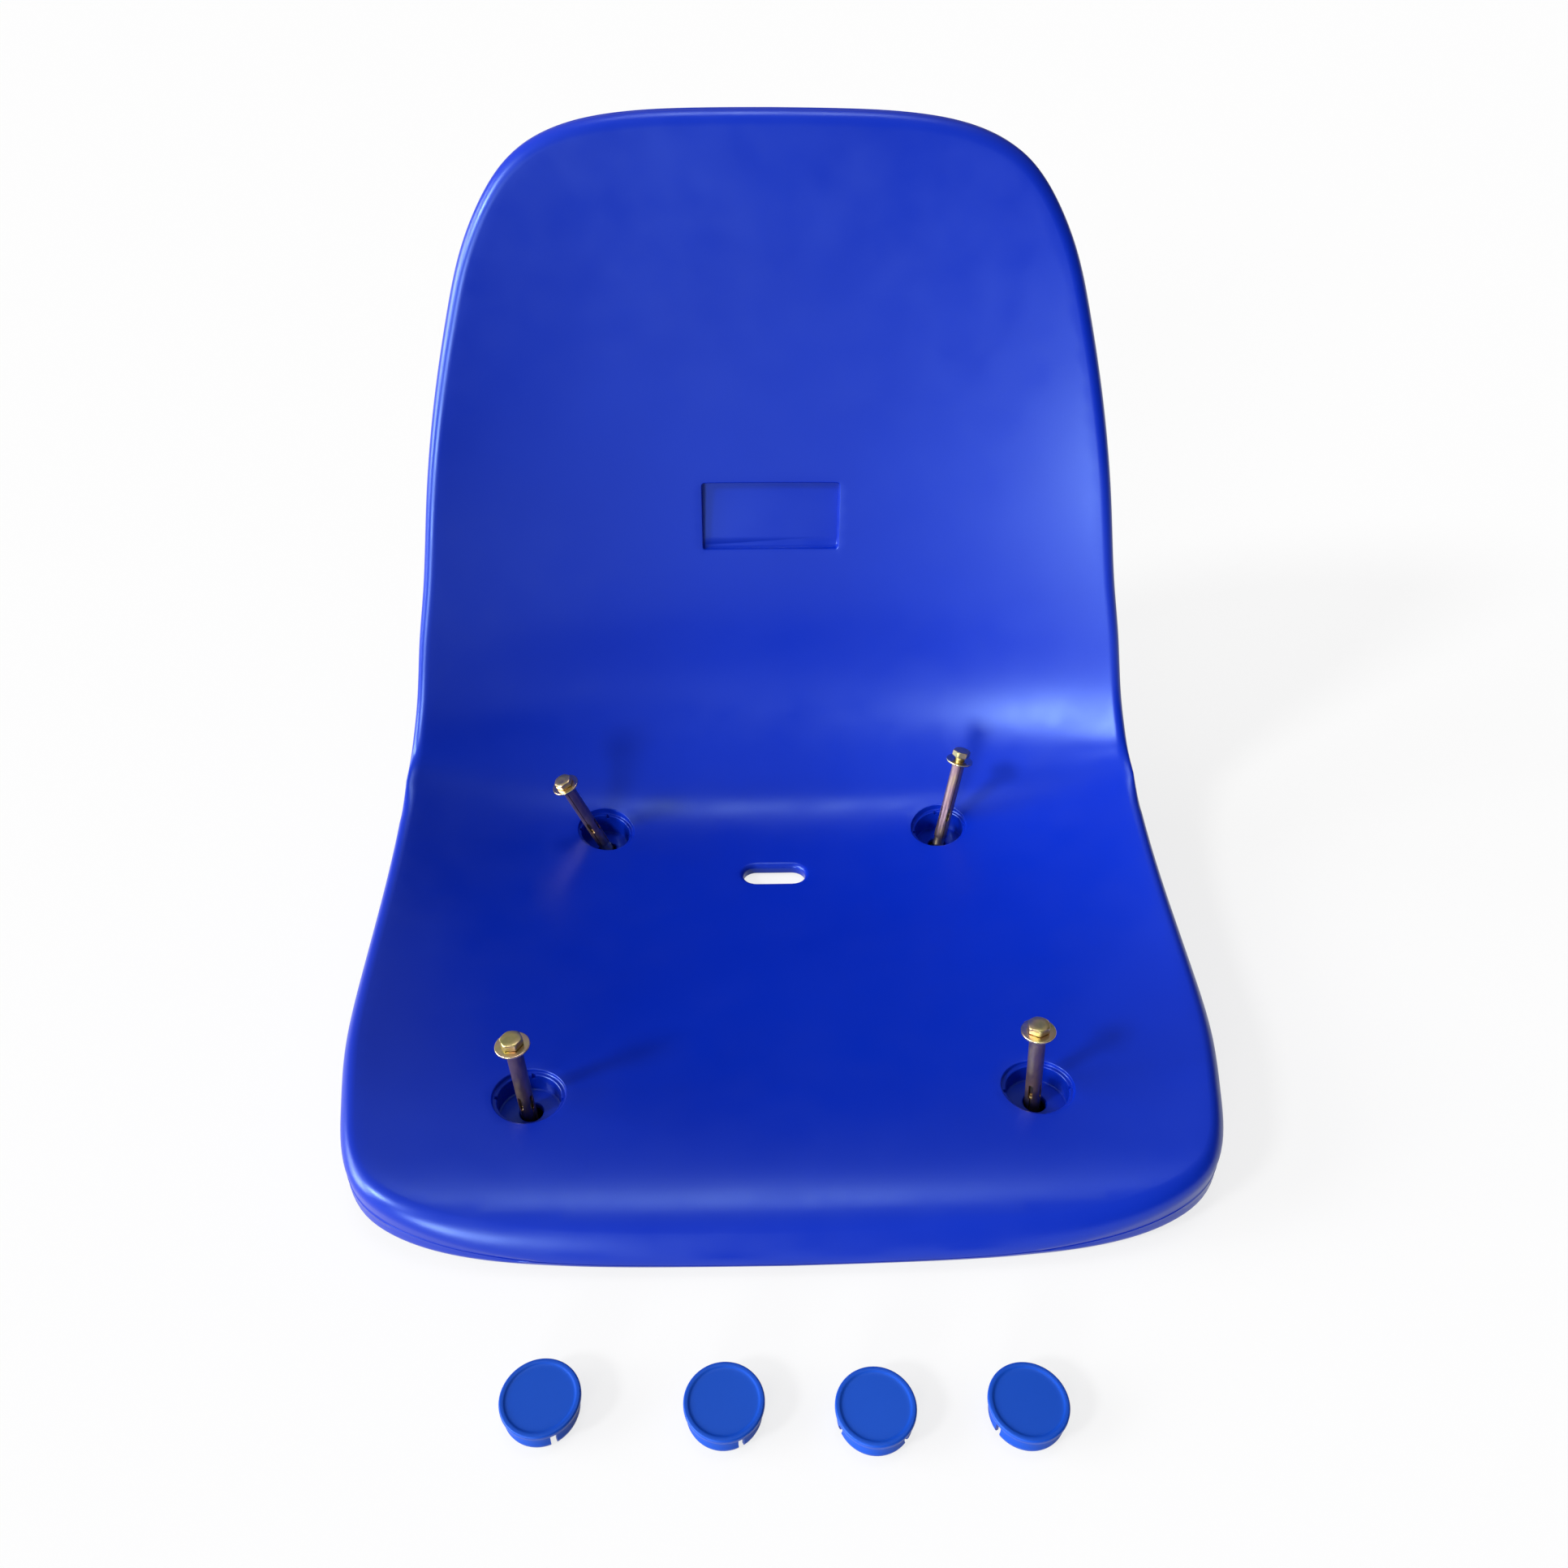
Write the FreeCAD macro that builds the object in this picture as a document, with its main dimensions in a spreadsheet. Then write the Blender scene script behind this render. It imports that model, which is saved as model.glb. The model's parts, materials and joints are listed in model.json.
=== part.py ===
import FreeCAD, Part
import math
import os

import Sketcher
from FreeCAD import Vector

# A loose stadium seat: one hollow blow-moulded shell with four fixing pockets, four sleeve
# anchors that stand in the pockets, and four push-in caps that lie in front of it.
# Millimetres, +Z up, X across the seat, +Y towards the back. The origin is the middle of the
# four fixing points, on the plane of the feet.

os.makedirs("parts", exist_ok=True)

doc = FreeCAD.newDocument("StadiumSeat")
sheet = doc.addObject("Spreadsheet::Sheet", "Sizes")

# Driving sizes, each with a word for its alias

SIZES = {
    # fixing pattern
    "row_spacing": 231.0,
    "front_spacing": 252.0,
    "rear_spacing": 218.0,
    # outline of the shell
    "front_reach": 197.0,
    "hip_width": 466.0,
    "seat_height": 420.5,
    "recline": 6.8,
    "dish_power": 2.4,
    "dish_margin": 3.0,
    # double wall
    "wall": 2.5,
    "edge_wall": 5.0,
    "front_round": 8.0,
    "rear_round": 4.5,
    # fixing pockets
    "rim_radius": 17.9,
    "ledge_depth": 2.2,
    "bore_radius": 15.75,
    "floor_thickness": 3.0,
    "front_floor": 16.4,
    "front_rim_level": 28.8,
    "rear_rim_level": 17.6,
    "front_pitch": -3.0,
    "front_roll": 3.3,
    "rear_pitch": 7.6,
    "rear_roll": 10.2,
    "rim_soften": 1.2,
    "latch_width": 1.6,
    "latch_depth": 1.1,
    "latch_height": 2.6,
    "foot_radius": 18.7,
    "foot_rise": 11.0,
    "relief_radius": 13.0,
    "hole_radius": 5.75,
    # drain slot
    "drain_place": 80.0,
    "slot_length": 39.0,
    "slot_width": 17.0,
    "slot_round": 3.2,
    # number plate recess
    "plate_width": 86.0,
    "plate_height": 42.0,
    "plate_sink": 2.4,
    "plate_level": 198.0,
    "plate_corner": 2.0,
    # anchors
    "bolt_length": 65.0,
    "bolt_radius": 2.95,
    "head_across": 10.0,
    "head_height": 4.0,
    "washer_radius": 8.5,
    "washer_bore": 3.25,
    "washer_thickness": 1.2,
    "washer_gap": 0.05,
    "sleeve_radius": 4.0,
    "sleeve_wall": 0.6,
    "sleeve_length": 56.0,
    "seam_gap": 0.5,
    "window_width": 2.4,
    "window_length": 9.5,
    "window_base": 13.5,
    "nut_radius": 3.9,
    "nut_base": 2.5,
    "nut_length": 9.0,
    "nose_entry": 1.5,
    "cone_gap": 0.4,
    "thread_clearance": 0.08,
    "nose_clearance": 0.05,
    "raised_head": 2.5,
    # caps
    "cap_radius": 16.6,
    "cap_lip": 2.4,
    "cap_height": 10.8,
    "cap_wall": 1.6,
    "cap_skirt_radius": 15.3,
    "cap_dish": 0.5,
    "cap_rim_width": 2.2,
    "cap_round": 0.8,
    "cap_slot": 2.6,
    "cap_row": 257.0,
}

# Sizes that follow from the driving ones

DERIVED = {
    "half_hip": "=hip_width / 2",
    "dish_half": "=hip_width / 2 - dish_margin",
    "front_row": "=-row_spacing / 2",
    "rear_row": "=row_spacing / 2",
    "tube_radius": "=bore_radius + wall",
    "rim_tube_radius": "=rim_radius + wall",
    "front_floor_base": "=front_floor - floor_thickness",
    "rear_floor": "=floor_thickness",
    "slot_radius": "=slot_width / 2",
    "slot_middle": "=slot_length - slot_width",
    "nut_bore": "=bolt_radius + thread_clearance",
    "nose_radius": "=sleeve_radius - sleeve_wall - nose_clearance",
    "sleeve_base": "=nut_length - nose_entry",
    "sleeve_top": "=nut_length - nose_entry + sleeve_length",
    "cone_top": "=nut_length - nose_entry - cone_gap",
    "washer_base": "=nut_length - nose_entry + sleeve_length + washer_gap",
    "cap_skirt_inner": "=cap_skirt_radius - cap_wall",
}

# Stations of the moulded surface from the front lip round to the top of the back. Each has
# its reach along Y, its level, the lean of its cross line in degrees, the rise at the sides,
# the thickness in the middle and the thickness at the side edge.

STATIONS = {
    "nose": ("=-front_reach - 2", "8.5", 0.0, 5.0, 5.3, 9.5),
    "lip": ("=-front_reach + 7", "20.5", 0.0, 5.5, 17.3, 20.5),
    "crest": ("=-front_reach + 26", "27.2", 0.0, 6.5, 24.0, 26.0),
    "brow": ("=-front_reach + 52", "28", 0.0, 8.0, 24.8, 24.0),
    "front_pocket": ("=-row_spacing / 2", "26", 0.0, 12.0, 22.8, 20.0),
    "thigh": ("=-row_spacing * 0.26", "20", 0.0, 17.0, 17.3, 18.0),
    "dip": ("=row_spacing * 0.0216", "12.6", 0.0, 26.0, 10.4, 18.0),
    "drain": ("=row_spacing * 0.3247", "8.2", 0.0, 38.0, 7.0, 18.0),
    "rear_pocket": ("=row_spacing / 2", "10.2", 8.0, 44.0, 8.0, 18.0),
    "low_bend": ("=row_spacing / 2 + 34.5", "22", 25.0, 46.0, 12.0, 18.0),
    "high_bend": ("=row_spacing / 2 + 65.5", "62", 60.0, 46.0, 16.0, 18.0),
    "lumbar": ("=row_spacing / 2 + 78.5", "130", 83.2, 42.0, 18.0, 18.0),
    "blade": ("=lumbar_reach + (blade_level - lumbar_level) * tan(recline)", "211", 83.2, 37.0, 18.0, 18.0),
    "shoulder": ("=lumbar_reach + (shoulder_level - lumbar_level) * tan(recline)", "=seat_height - 110.5",
                 83.2, 26.0, 18.0, 18.0),
    "top": ("=lumbar_reach + (top_level - lumbar_level) * tan(recline)", "=seat_height - 5.5",
            83.2, 14.0, 18.0, 18.0),
    "crown": ("=lumbar_reach + (crown_level - lumbar_level) * tan(recline)", "=seat_height + 19.5",
              83.2, 10.0, 18.0, 18.0),
}
STATION_SIZES = ("level", "reach", "lean", "rise", "thick", "edge")

# Outlines of one half, each point a share of the half width with a distance in millimetres:
# the seat pan seen from above measured back from its front edge, and the back seen from the
# front measured down from its top

PAN_OUTLINE = (
    (0.0, 0.0), (0.2575, 0.6), (0.485, 2.7), (0.645, 7.7), (0.765, 16.7), (0.853, 31.0),
    (0.897, 49.0), (0.927, 75.0), (0.957, 109.0), (0.9807, 164.0), (0.9914, 227.0), (1.0, 287.0),
)
BACK_OUTLINE = (
    (1.0, 364.5), (0.9975, 357.5), (0.991, 347.5), (0.9815, 335.5), (0.9712, 320.5),
    (0.9622, 305.5), (0.9515, 288.5), (0.9259, 255.5), (0.8948, 205.5),
    (0.8519, 150.5), (0.796, 99.5), (0.755, 70.5), (0.703, 46.5), (0.615, 22.0),
    (0.515, 9.8), (0.37, 2.8), (0.185, 0.4), (0.0, 0.0),
)

# The four fixing points: side of the seat, row, and how the anchor stands in its pocket. The
# heading is the direction it leans to, seen from above, the slip is how far its tip stands from
# the middle of the hole that way, the spin turns the whole anchor about its own axis, and the
# bolt is lifted and turned further by the last two.

FIXINGS = {
    "front_left": {"side": -1, "row": "front", "lean": 3.0, "heading": 182.0, "slip": 0.6, "spin": -32.0,
                   "lift": "0", "head": 0.0},
    "front_right": {"side": 1, "row": "front", "lean": 4.0, "heading": 138.0, "slip": 0.3, "spin": 57.0,
                    "lift": "0", "head": 0.0},
    "rear_right": {"side": 1, "row": "rear", "lean": 11.6, "heading": 37.6, "slip": 1.05, "spin": 190.0,
                   "lift": "Sizes.raised_head", "head": 15.0},
    "rear_left": {"side": -1, "row": "rear", "lean": 21.7, "heading": 206.3, "slip": 0.0, "spin": 175.0,
                  "lift": "0", "head": 0.0},
}

# The four caps: place across the seat, distance in front of the pattern, turn of the slots

CAPS = {
    "cover_cap_one": (-104.0, 0.0, -64.0),
    "cover_cap_two": (-29.3, -3.4, -63.0),
    "cover_cap_three": (32.1, -7.0, -40.0),
    "cover_cap_four": (94.4, -6.7, 90.0),
}


def fill_sheet():
    """Write every size into the sheet, one row each, with its alias."""
    rows = dict(SIZES)
    for station, (reach, level, *others) in STATIONS.items():
        rows[station + "_level"] = level
        rows[station + "_reach"] = reach
        for word, value in zip(STATION_SIZES[2:], others):
            rows[f"{station}_{word}"] = value
    for side_name, (across, ahead, turn) in CAPS.items():
        rows[side_name + "_across"] = across
        rows[side_name + "_ahead"] = ahead
        rows[side_name + "_turn"] = turn
    for name, fixing in FIXINGS.items():
        for word in ("lean", "heading", "slip", "spin"):
            rows[f"{name}_{word}"] = fixing[word]
    rows.update(DERIVED)
    for row, (name, value) in enumerate(rows.items(), start=1):
        sheet.set(f"A{row}", name)
        sheet.set(f"B{row}", str(value))
        sheet.setAlias(f"B{row}", name)
    doc.recompute()


def size(name):
    """Read one size back from the sheet."""
    return float(getattr(sheet, name))


fill_sheet()

# Moulded surface of the seat


def skin_rows(front_offset, back_offset, half_width):
    """Rows of points of the sitter's face and of the underside, from the lip to the crown."""
    columns = 11
    front_rows = []
    back_rows = []
    for station in STATIONS:
        lean = math.radians(size(station + "_lean"))
        towards_sitter = Vector(0, -math.sin(lean), math.cos(lean))
        front_row = []
        back_row = []
        for column in range(columns):
            x = -half_width + 2 * half_width * column / (columns - 1)
            share = abs(x / size("dish_half")) ** size("dish_power")
            base = Vector(x, size(station + "_reach"), size(station + "_level"))
            thickness = size(station + "_thick") * (1 - share) + size(station + "_edge") * share
            front = base + towards_sitter * (size(station + "_rise") * share)
            back = front - towards_sitter * thickness
            front_row.append(front - towards_sitter * front_offset)
            back_row.append(back + towards_sitter * back_offset)
        front_rows.append(front_row)
        back_rows.append(back_row)
    return front_rows, back_rows


def slab(front_offset, back_offset, half_width):
    """Closed solid between the two moulded faces, square at its corners."""
    faces = []
    for rows in skin_rows(front_offset, back_offset, half_width):
        surface = Part.BSplineSurface()
        surface.interpolate(rows)
        faces.append(surface.toShape())
    front, back = faces
    sides = [Part.makeRuledSurface(a, b) for a, b in zip(front.Edges, back.Edges)]
    shell = Part.makeShell([front, back] + sides)
    shell.sewShape()
    solid = Part.Solid(shell)
    if solid.Volume < 0:
        solid.reverse()
    return solid


def drawn_in(points, inset):
    """The outline points moved towards the inside of the seat, square to the outline."""
    moved = []
    for index, (along, across) in enumerate(points):
        if index == 0:
            direction = (1.0, 0.0)
        elif index == len(points) - 1:
            direction = (0.0, 1.0)
        else:
            before = points[index - 1]
            after = points[index + 1]
            length = math.hypot(after[0] - before[0], after[1] - before[1])
            direction = ((after[0] - before[0]) / length, (after[1] - before[1]) / length)
        moved.append((along - direction[1] * inset, across + direction[0] * inset))
    return moved


def outer_region(points, far):
    """Flat face outside a half outline and its mirror image, drawn in the XY plane.

    The points run from the middle line to the side, with the second number growing inwards.
    """
    curves = []
    for side in (1, -1):
        curve = Part.BSplineCurve()
        places = [Vector(side * x, y, 0) for x, y in points]
        curve.interpolate(places, InitialTangent=Vector(side, 0, 0), FinalTangent=Vector(0, 1, 0))
        curves.append(curve.toShape())
    side_x, side_y = points[-1]
    front_y = points[0][1] - far
    corners = [
        Vector(side_x, side_y, 0), Vector(side_x + far, side_y, 0), Vector(side_x + far, front_y, 0),
        Vector(-side_x - far, front_y, 0), Vector(-side_x - far, side_y, 0), Vector(-side_x, side_y, 0),
    ]
    lines = [Part.makeLine(a, b) for a, b in zip(corners, corners[1:])]
    return Part.Face(Part.Wire(Part.__sortEdges__(curves + lines)))


def front_trim(inset):
    """Tool that rounds the front corners of the pan, working straight down."""
    half = size("half_hip")
    points = [(share * half, back - size("front_reach")) for share, back in PAN_OUTLINE]
    face = outer_region(drawn_in(points, inset), 100)
    face.translate(Vector(0, 0, -100))
    return face.extrude(Vector(0, 0, 300))


def top_trim(inset):
    """Tool that rounds the shoulders of the back, working straight through from the front."""
    half = size("half_hip")
    points = [(share * half, down) for share, down in reversed(BACK_OUTLINE)]
    face = outer_region(drawn_in(points, inset), 100)
    face.rotate(Vector(0, 0, 0), Vector(1, 0, 0), -90)
    face.translate(Vector(0, 100, size("seat_height")))
    return face.extrude(Vector(0, 300, 0))


def trimmed(front_offset, back_offset, inset):
    """The slab with its outline cut to the shape of the seat."""
    whole = slab(front_offset, back_offset, size("half_hip") - inset)
    return whole.cut(front_trim(inset)).cut(top_trim(inset)).Solids[0]


def moulded_blank():
    """The outer body of the seat with rounded edges, before pockets and feet."""
    blank = trimmed(0, 0, 0)
    largest = sorted(blank.Faces, key=lambda face: face.Area)[-2:]
    front = min(largest, key=lambda face: face.CenterOfMass.y)
    blank = blank.makeFillet(size("front_round"), front.OuterWire.Edges)
    largest = sorted(blank.Faces, key=lambda face: face.Area)[-2:]
    rear = max(largest, key=lambda face: face.CenterOfMass.y)
    return blank.makeFillet(size("rear_round"), rear.OuterWire.Edges)


def moulded_cavity():
    """The air space between the two walls of the seat."""
    wall = size("wall")
    return trimmed(wall, wall, size("edge_wall"))


def feature(label, shape):
    """Hold a shape that is set in code as a document object."""
    item = doc.addObject("Part::Feature", label)
    item.Label = label
    item.Shape = shape
    return item


blank = feature("moulded_blank", moulded_blank())
cavity = feature("moulded_cavity", moulded_cavity())

# Fixing pockets, feet, drain slot and number plate recess, as simple solids


def cylinder(label, radius, height, placement):
    """Cylinder whose radius, height and placement are expressions on the sheet."""
    item = doc.addObject("Part::Cylinder", label)
    item.setExpression("Radius", radius)
    item.setExpression("Height", height)
    item.setExpression("Placement", placement)
    return item


def box(label, length, width, height, placement):
    """Box whose three sides and placement are expressions on the sheet."""
    item = doc.addObject("Part::Box", label)
    item.setExpression("Length", length)
    item.setExpression("Width", width)
    item.setExpression("Height", height)
    item.setExpression("Placement", placement)
    return item


def upright(x, y, z):
    """Expression of an unturned placement."""
    return f"placement(vector({x}; {y}; {z}); rotation(0; 0; 0))"


def fused(label, items):
    """One object that joins several."""
    item = doc.addObject("Part::MultiFuse", label)
    item.Shapes = items
    item.Refine = False
    return item


def cut(label, base, tool):
    """One object that takes the tool away from the base."""
    item = doc.addObject("Part::Cut", label)
    item.Base = base
    item.Tool = tool
    item.Refine = False
    return item


fillers = []
feet = []
hollows = []
cylinder_far = "60"

for name, fixing in FIXINGS.items():
    row = fixing["row"]
    side = fixing["side"]
    x = f"({side} * Sizes.{row}_spacing / 2)"
    y = f"Sizes.{row}_row"
    level = f"Sizes.{row}_rim_level"
    tilt = f"rotation(0; {-side} * Sizes.{row}_roll; Sizes.{row}_pitch)"
    rim = f"placement(vector({x}; {y}; {level}); {tilt})"
    floor = f"Sizes.{row}_floor"

    # solid ring that holds the pocket between the two walls
    fillers.append(cylinder(
        name + "_tube", "Sizes.tube_radius", cylinder_far + " * 2",
        rim + " * " + upright("0", "0", "-" + cylinder_far)))
    fillers.append(cylinder(
        name + "_rim_tube", "Sizes.rim_tube_radius", cylinder_far,
        rim + " * " + upright("0", "0", "-Sizes.ledge_depth - Sizes.wall")))
    fillers.append(cylinder(
        name + "_foot_tube", "Sizes.foot_radius", "Sizes.foot_rise + 1", upright(x, y, "0")))

    # foot, pocket bore above its level floor, recess for the head of the cap
    feet.append(cylinder(name + "_foot", "Sizes.foot_radius", "Sizes.foot_rise", upright(x, y, "0")))
    bore = cylinder(
        name + "_bore", "Sizes.bore_radius", cylinder_far + " * 2",
        rim + " * " + upright("0", "0", "-" + cylinder_far))
    above_floor = box(
        name + "_above_floor", "100", "100", "100", upright(f"{x} - 50", f"{y} - 50", floor))
    pocket = doc.addObject("Part::Common", name + "_pocket")
    pocket.Base = bore
    pocket.Tool = above_floor
    hollows.append(pocket)
    hollows.append(cylinder(
        name + "_recess", "Sizes.rim_radius", cylinder_far,
        rim + " * " + upright("0", "0", "-Sizes.ledge_depth")))

    # notches under the ledge that the latches of the cap snap into
    for turn in (0, 90):
        hollows.append(box(
            f"{name}_notch_{turn}", "2 * (Sizes.bore_radius + Sizes.latch_depth)", "Sizes.latch_width",
            "Sizes.latch_height + 1",
            rim + f" * placement(vector(0; 0; 0); rotation({turn}; 0; 0)) * "
            + upright("-Sizes.bore_radius - Sizes.latch_depth", "-Sizes.latch_width / 2",
                      "-Sizes.ledge_depth - Sizes.latch_height")))

    # hole for the sleeve anchor, and the relief under the raised front floors
    hollows.append(cylinder(name + "_hole", "Sizes.hole_radius", "100", upright(x, y, "-10")))
    if row == "front":
        hollows.append(cylinder(
            name + "_relief", "Sizes.relief_radius", "Sizes.front_floor_base + 10",
            upright(x, y, "-10")))


def slot_solids(prefix, margin):
    """Box and two round ends of the drain slot, grown by the margin."""
    radius = f"Sizes.slot_radius + {margin}"
    parts = [box(
        prefix + "_middle", "Sizes.slot_middle", f"2 * ({radius})", "200",
        upright("-Sizes.slot_middle / 2", f"Sizes.drain_place - ({radius})", "-100"))]
    for side, word in ((-1, "left"), (1, "right")):
        parts.append(cylinder(
            f"{prefix}_{word}_end", radius, "200",
            upright(f"{side} * Sizes.slot_middle / 2", "Sizes.drain_place", "-100")))
    return parts


fillers += slot_solids("drain_ring", "Sizes.wall + 2")
drain_slot = fused("drain_slot", slot_solids("drain", "0"))

plate_frame = (
    "placement(vector(0; Sizes.lumbar_reach + (Sizes.plate_level - Sizes.lumbar_level)"
    " * tan(Sizes.recline); Sizes.plate_level); rotation(0; 0; -Sizes.recline)) * ")
fillers.append(box(
    "plate_backing", "Sizes.plate_width + 2 * Sizes.wall", "Sizes.plate_sink + 2 * Sizes.wall",
    "Sizes.plate_height + 2 * Sizes.wall",
    plate_frame + upright("-Sizes.plate_width / 2 - Sizes.wall", "-Sizes.wall",
                          "-Sizes.plate_height / 2 - Sizes.wall")))
plate_block = box(
    "plate_block", "Sizes.plate_width", "20", "Sizes.plate_height",
    plate_frame + upright("-Sizes.plate_width / 2", "Sizes.plate_sink - 20",
                          "-Sizes.plate_height / 2"))
doc.recompute()
plate_recess = doc.addObject("Part::Fillet", "plate_recess")
plate_recess.Base = plate_block
corner_edges = []
for number, edge in enumerate(plate_block.Shape.Edges, start=1):
    if abs(edge.Length - 20) < 0.001:
        corner_edges.append((number, size("plate_corner"), size("plate_corner")))
plate_recess.Edges = corner_edges
hollows.append(plate_recess)

# The shell: blank and feet, less the air space round the fillers, the pockets and the slot

air_space = cut("air_space", cavity, fused("solid_regions", fillers))
footed = fused("footed_blank", [blank] + feet)
hollow = cut("hollow_shell", footed, air_space)
pocketed = cut("pocketed_shell", hollow, fused("pocket_hollows", hollows))
slotted = cut("slotted_shell", pocketed, drain_slot)
doc.recompute()

# Rounded lips of the drain slot and of the pockets


def edge_points(edge):
    """Five points spread along an edge."""
    first, last = edge.ParameterRange
    return [edge.valueAt(first + (last - first) * step / 4) for step in range(5)]


def on_slot_lip(point):
    """True on the upper edge of the drain slot."""
    beyond = max(abs(point.x) - size("slot_middle") / 2, 0)
    distance = math.hypot(beyond, point.y - size("drain_place"))
    above = point.z > size("drain_level") - size("drain_thick") / 2
    return above and abs(distance - size("slot_radius")) < 0.02


def rim_test(frame):
    """Test for the upper edge of one pocket, measured in the frame of its rim."""
    inverse = frame.inverse()

    def on_rim(point):
        local = inverse.multVec(point)
        near = abs(math.hypot(local.x, local.y) - size("rim_radius")) < 0.02
        return near and local.z > 0.1 - size("ledge_depth")

    return on_rim


def rim_frame(side, row):
    """Placement of the rim of one pocket: its centre, with Z square to the surface."""
    centre = Vector(side * size(row + "_spacing") / 2, size(row + "_row"), size(row + "_rim_level"))
    turn = FreeCAD.Rotation(0, -side * size(row + "_roll"), size(row + "_pitch"))
    return FreeCAD.Placement(centre, turn)


def rounded(label, base, tests, radius):
    """Round every edge of the base that passes one of the tests."""
    item = doc.addObject("Part::Fillet", label)
    item.Base = base
    chosen = []
    for number, edge in enumerate(base.Shape.Edges, start=1):
        points = edge_points(edge)
        if edge.Length > 0.5 and any(all(test(point) for point in points) for test in tests):
            chosen.append((number, radius, radius))
    item.Edges = chosen
    doc.recompute()
    return item


slot_rounded = rounded("slot_rounded", slotted, [on_slot_lip], size("slot_round"))
rim_tests = [rim_test(rim_frame(fixing["side"], fixing["row"])) for fixing in FIXINGS.values()]
seat_shell = rounded("seat_shell", slot_rounded, rim_tests, size("rim_soften"))

# Helpers for the turned and pressed parts


def base_feature(body, role):
    """One of the base planes or axes of a body."""
    return next(item for item in body.Origin.OriginFeatures if item.Role == role)


def new_body(label):
    """Empty body with the label of its node."""
    body = doc.addObject("PartDesign::Body", label)
    body.Label = label
    return body


def sketch_on(body, label, role, height="0"):
    """Sketch on a base plane of the body, raised by the height."""
    sketch = body.newObject("Sketcher::SketchObject", f"{body.Label}_{label}_sketch")
    sketch.AttachmentSupport = (base_feature(body, role), [""])
    sketch.MapMode = "FlatFace"
    if height != "0":
        sketch.setExpression("AttachmentOffset.Base.z", height)
    return sketch


def outline(sketch, corners, first=0):
    """Closed outline of straight lines with every corner held by expressions."""
    places = [
        Vector(float(sketch.evalExpression(x)), float(sketch.evalExpression(y)), 0) for x, y in corners]
    count = len(places)
    for index in range(count):
        sketch.addGeometry(Part.LineSegment(places[index], places[(index + 1) % count]), False)
    for index in range(count):
        following = first + (index + 1) % count
        sketch.addConstraint(Sketcher.Constraint("Coincident", first + index, 2, following, 1))
    for index, (x, y) in enumerate(corners):
        hold(sketch, first + index, "DistanceX", x, places[index].x, -2)
        hold(sketch, first + index, "DistanceY", y, places[index].y, -1)


def hold(sketch, line, kind, formula, value, axis):
    """Hold the start of a line at a distance from the origin along X or Y."""
    if formula == "0":
        sketch.addConstraint(Sketcher.Constraint("PointOnObject", line, 1, axis))
        return
    number = sketch.addConstraint(Sketcher.Constraint(kind, -1, 1, line, 1, value))
    label = f"{kind}_{line}"
    sketch.renameConstraint(number, label)
    sketch.setExpression("Constraints." + label, formula)


def circle(sketch, radius):
    """Circle round the origin of the sketch."""
    value = float(sketch.evalExpression(radius))
    number = sketch.addGeometry(Part.Circle(Vector(0, 0, 0), Vector(0, 0, 1), value), False)
    sketch.addConstraint(Sketcher.Constraint("Coincident", number, 3, -1, 1))
    held = sketch.addConstraint(Sketcher.Constraint("Radius", number, value))
    sketch.renameConstraint(held, f"radius_{number}")
    sketch.setExpression(f"Constraints.radius_{number}", radius)


def pad(body, label, sketch, length):
    """Pad of a sketch."""
    item = body.newObject("PartDesign::Pad", f"{body.Label}_{label}")
    item.Profile = sketch
    item.setExpression("Length", length)
    return item


def turned(body, label, corners, kind="PartDesign::Revolution"):
    """Part turned from a profile of radius and height, or the same as a groove."""
    sketch = sketch_on(body, label, "XZ_Plane")
    outline(sketch, corners)
    item = body.newObject(kind, f"{body.Label}_{label}")
    item.Profile = sketch
    item.ReferenceAxis = (sketch, ["V_Axis"])
    item.Angle = 360
    return item


def side_pocket(body, label, corners, depth):
    """Pocket through the wall on the +Y side of the axis."""
    sketch = sketch_on(body, label, "XZ_Plane")
    outline(sketch, corners)
    item = body.newObject("PartDesign::Pocket", f"{body.Label}_{label}")
    item.Profile = sketch
    item.Type = 0
    item.setExpression("Length", depth)
    return item


def around(body, label, original, count):
    """Polar pattern of a feature about the axis of the body."""
    item = body.newObject("PartDesign::PolarPattern", f"{body.Label}_{label}")
    item.Originals = [original]
    item.Axis = (base_feature(body, "Z_Axis"), [""])
    item.Angle = 360
    item.Occurrences = count
    body.Tip = item
    return item


# Sleeve anchors: bolt, washer, slit sleeve and cone nut, each built from the tip upwards


def anchor_placement(name, lift="0", turned_by=0.0):
    """Expression of an anchor's placement: its tip rests in the hole of its pocket."""
    fixing = FIXINGS[name]
    x = f"({fixing['side']} * Sizes.{fixing['row']}_spacing / 2)"
    lean = f"Sizes.{name}_lean"
    heading = f"Sizes.{name}_heading"
    slip = f"Sizes.{name}_slip"
    tip = (
        f"vector({x} + {slip} * cos({heading}); Sizes.{fixing['row']}_row + {slip} * sin({heading});"
        f" Sizes.nut_radius * sin({lean}))")
    turn = (
        f"rotation(vector(0; 0; 1); {heading}) * rotation(vector(0; 1; 0); {lean})"
        f" * rotation(vector(0; 0; 1); Sizes.{name}_spin - {heading} + {turned_by})")
    return f"placement({tip}; {turn}) * " + upright("0", "0", lift)


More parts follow.
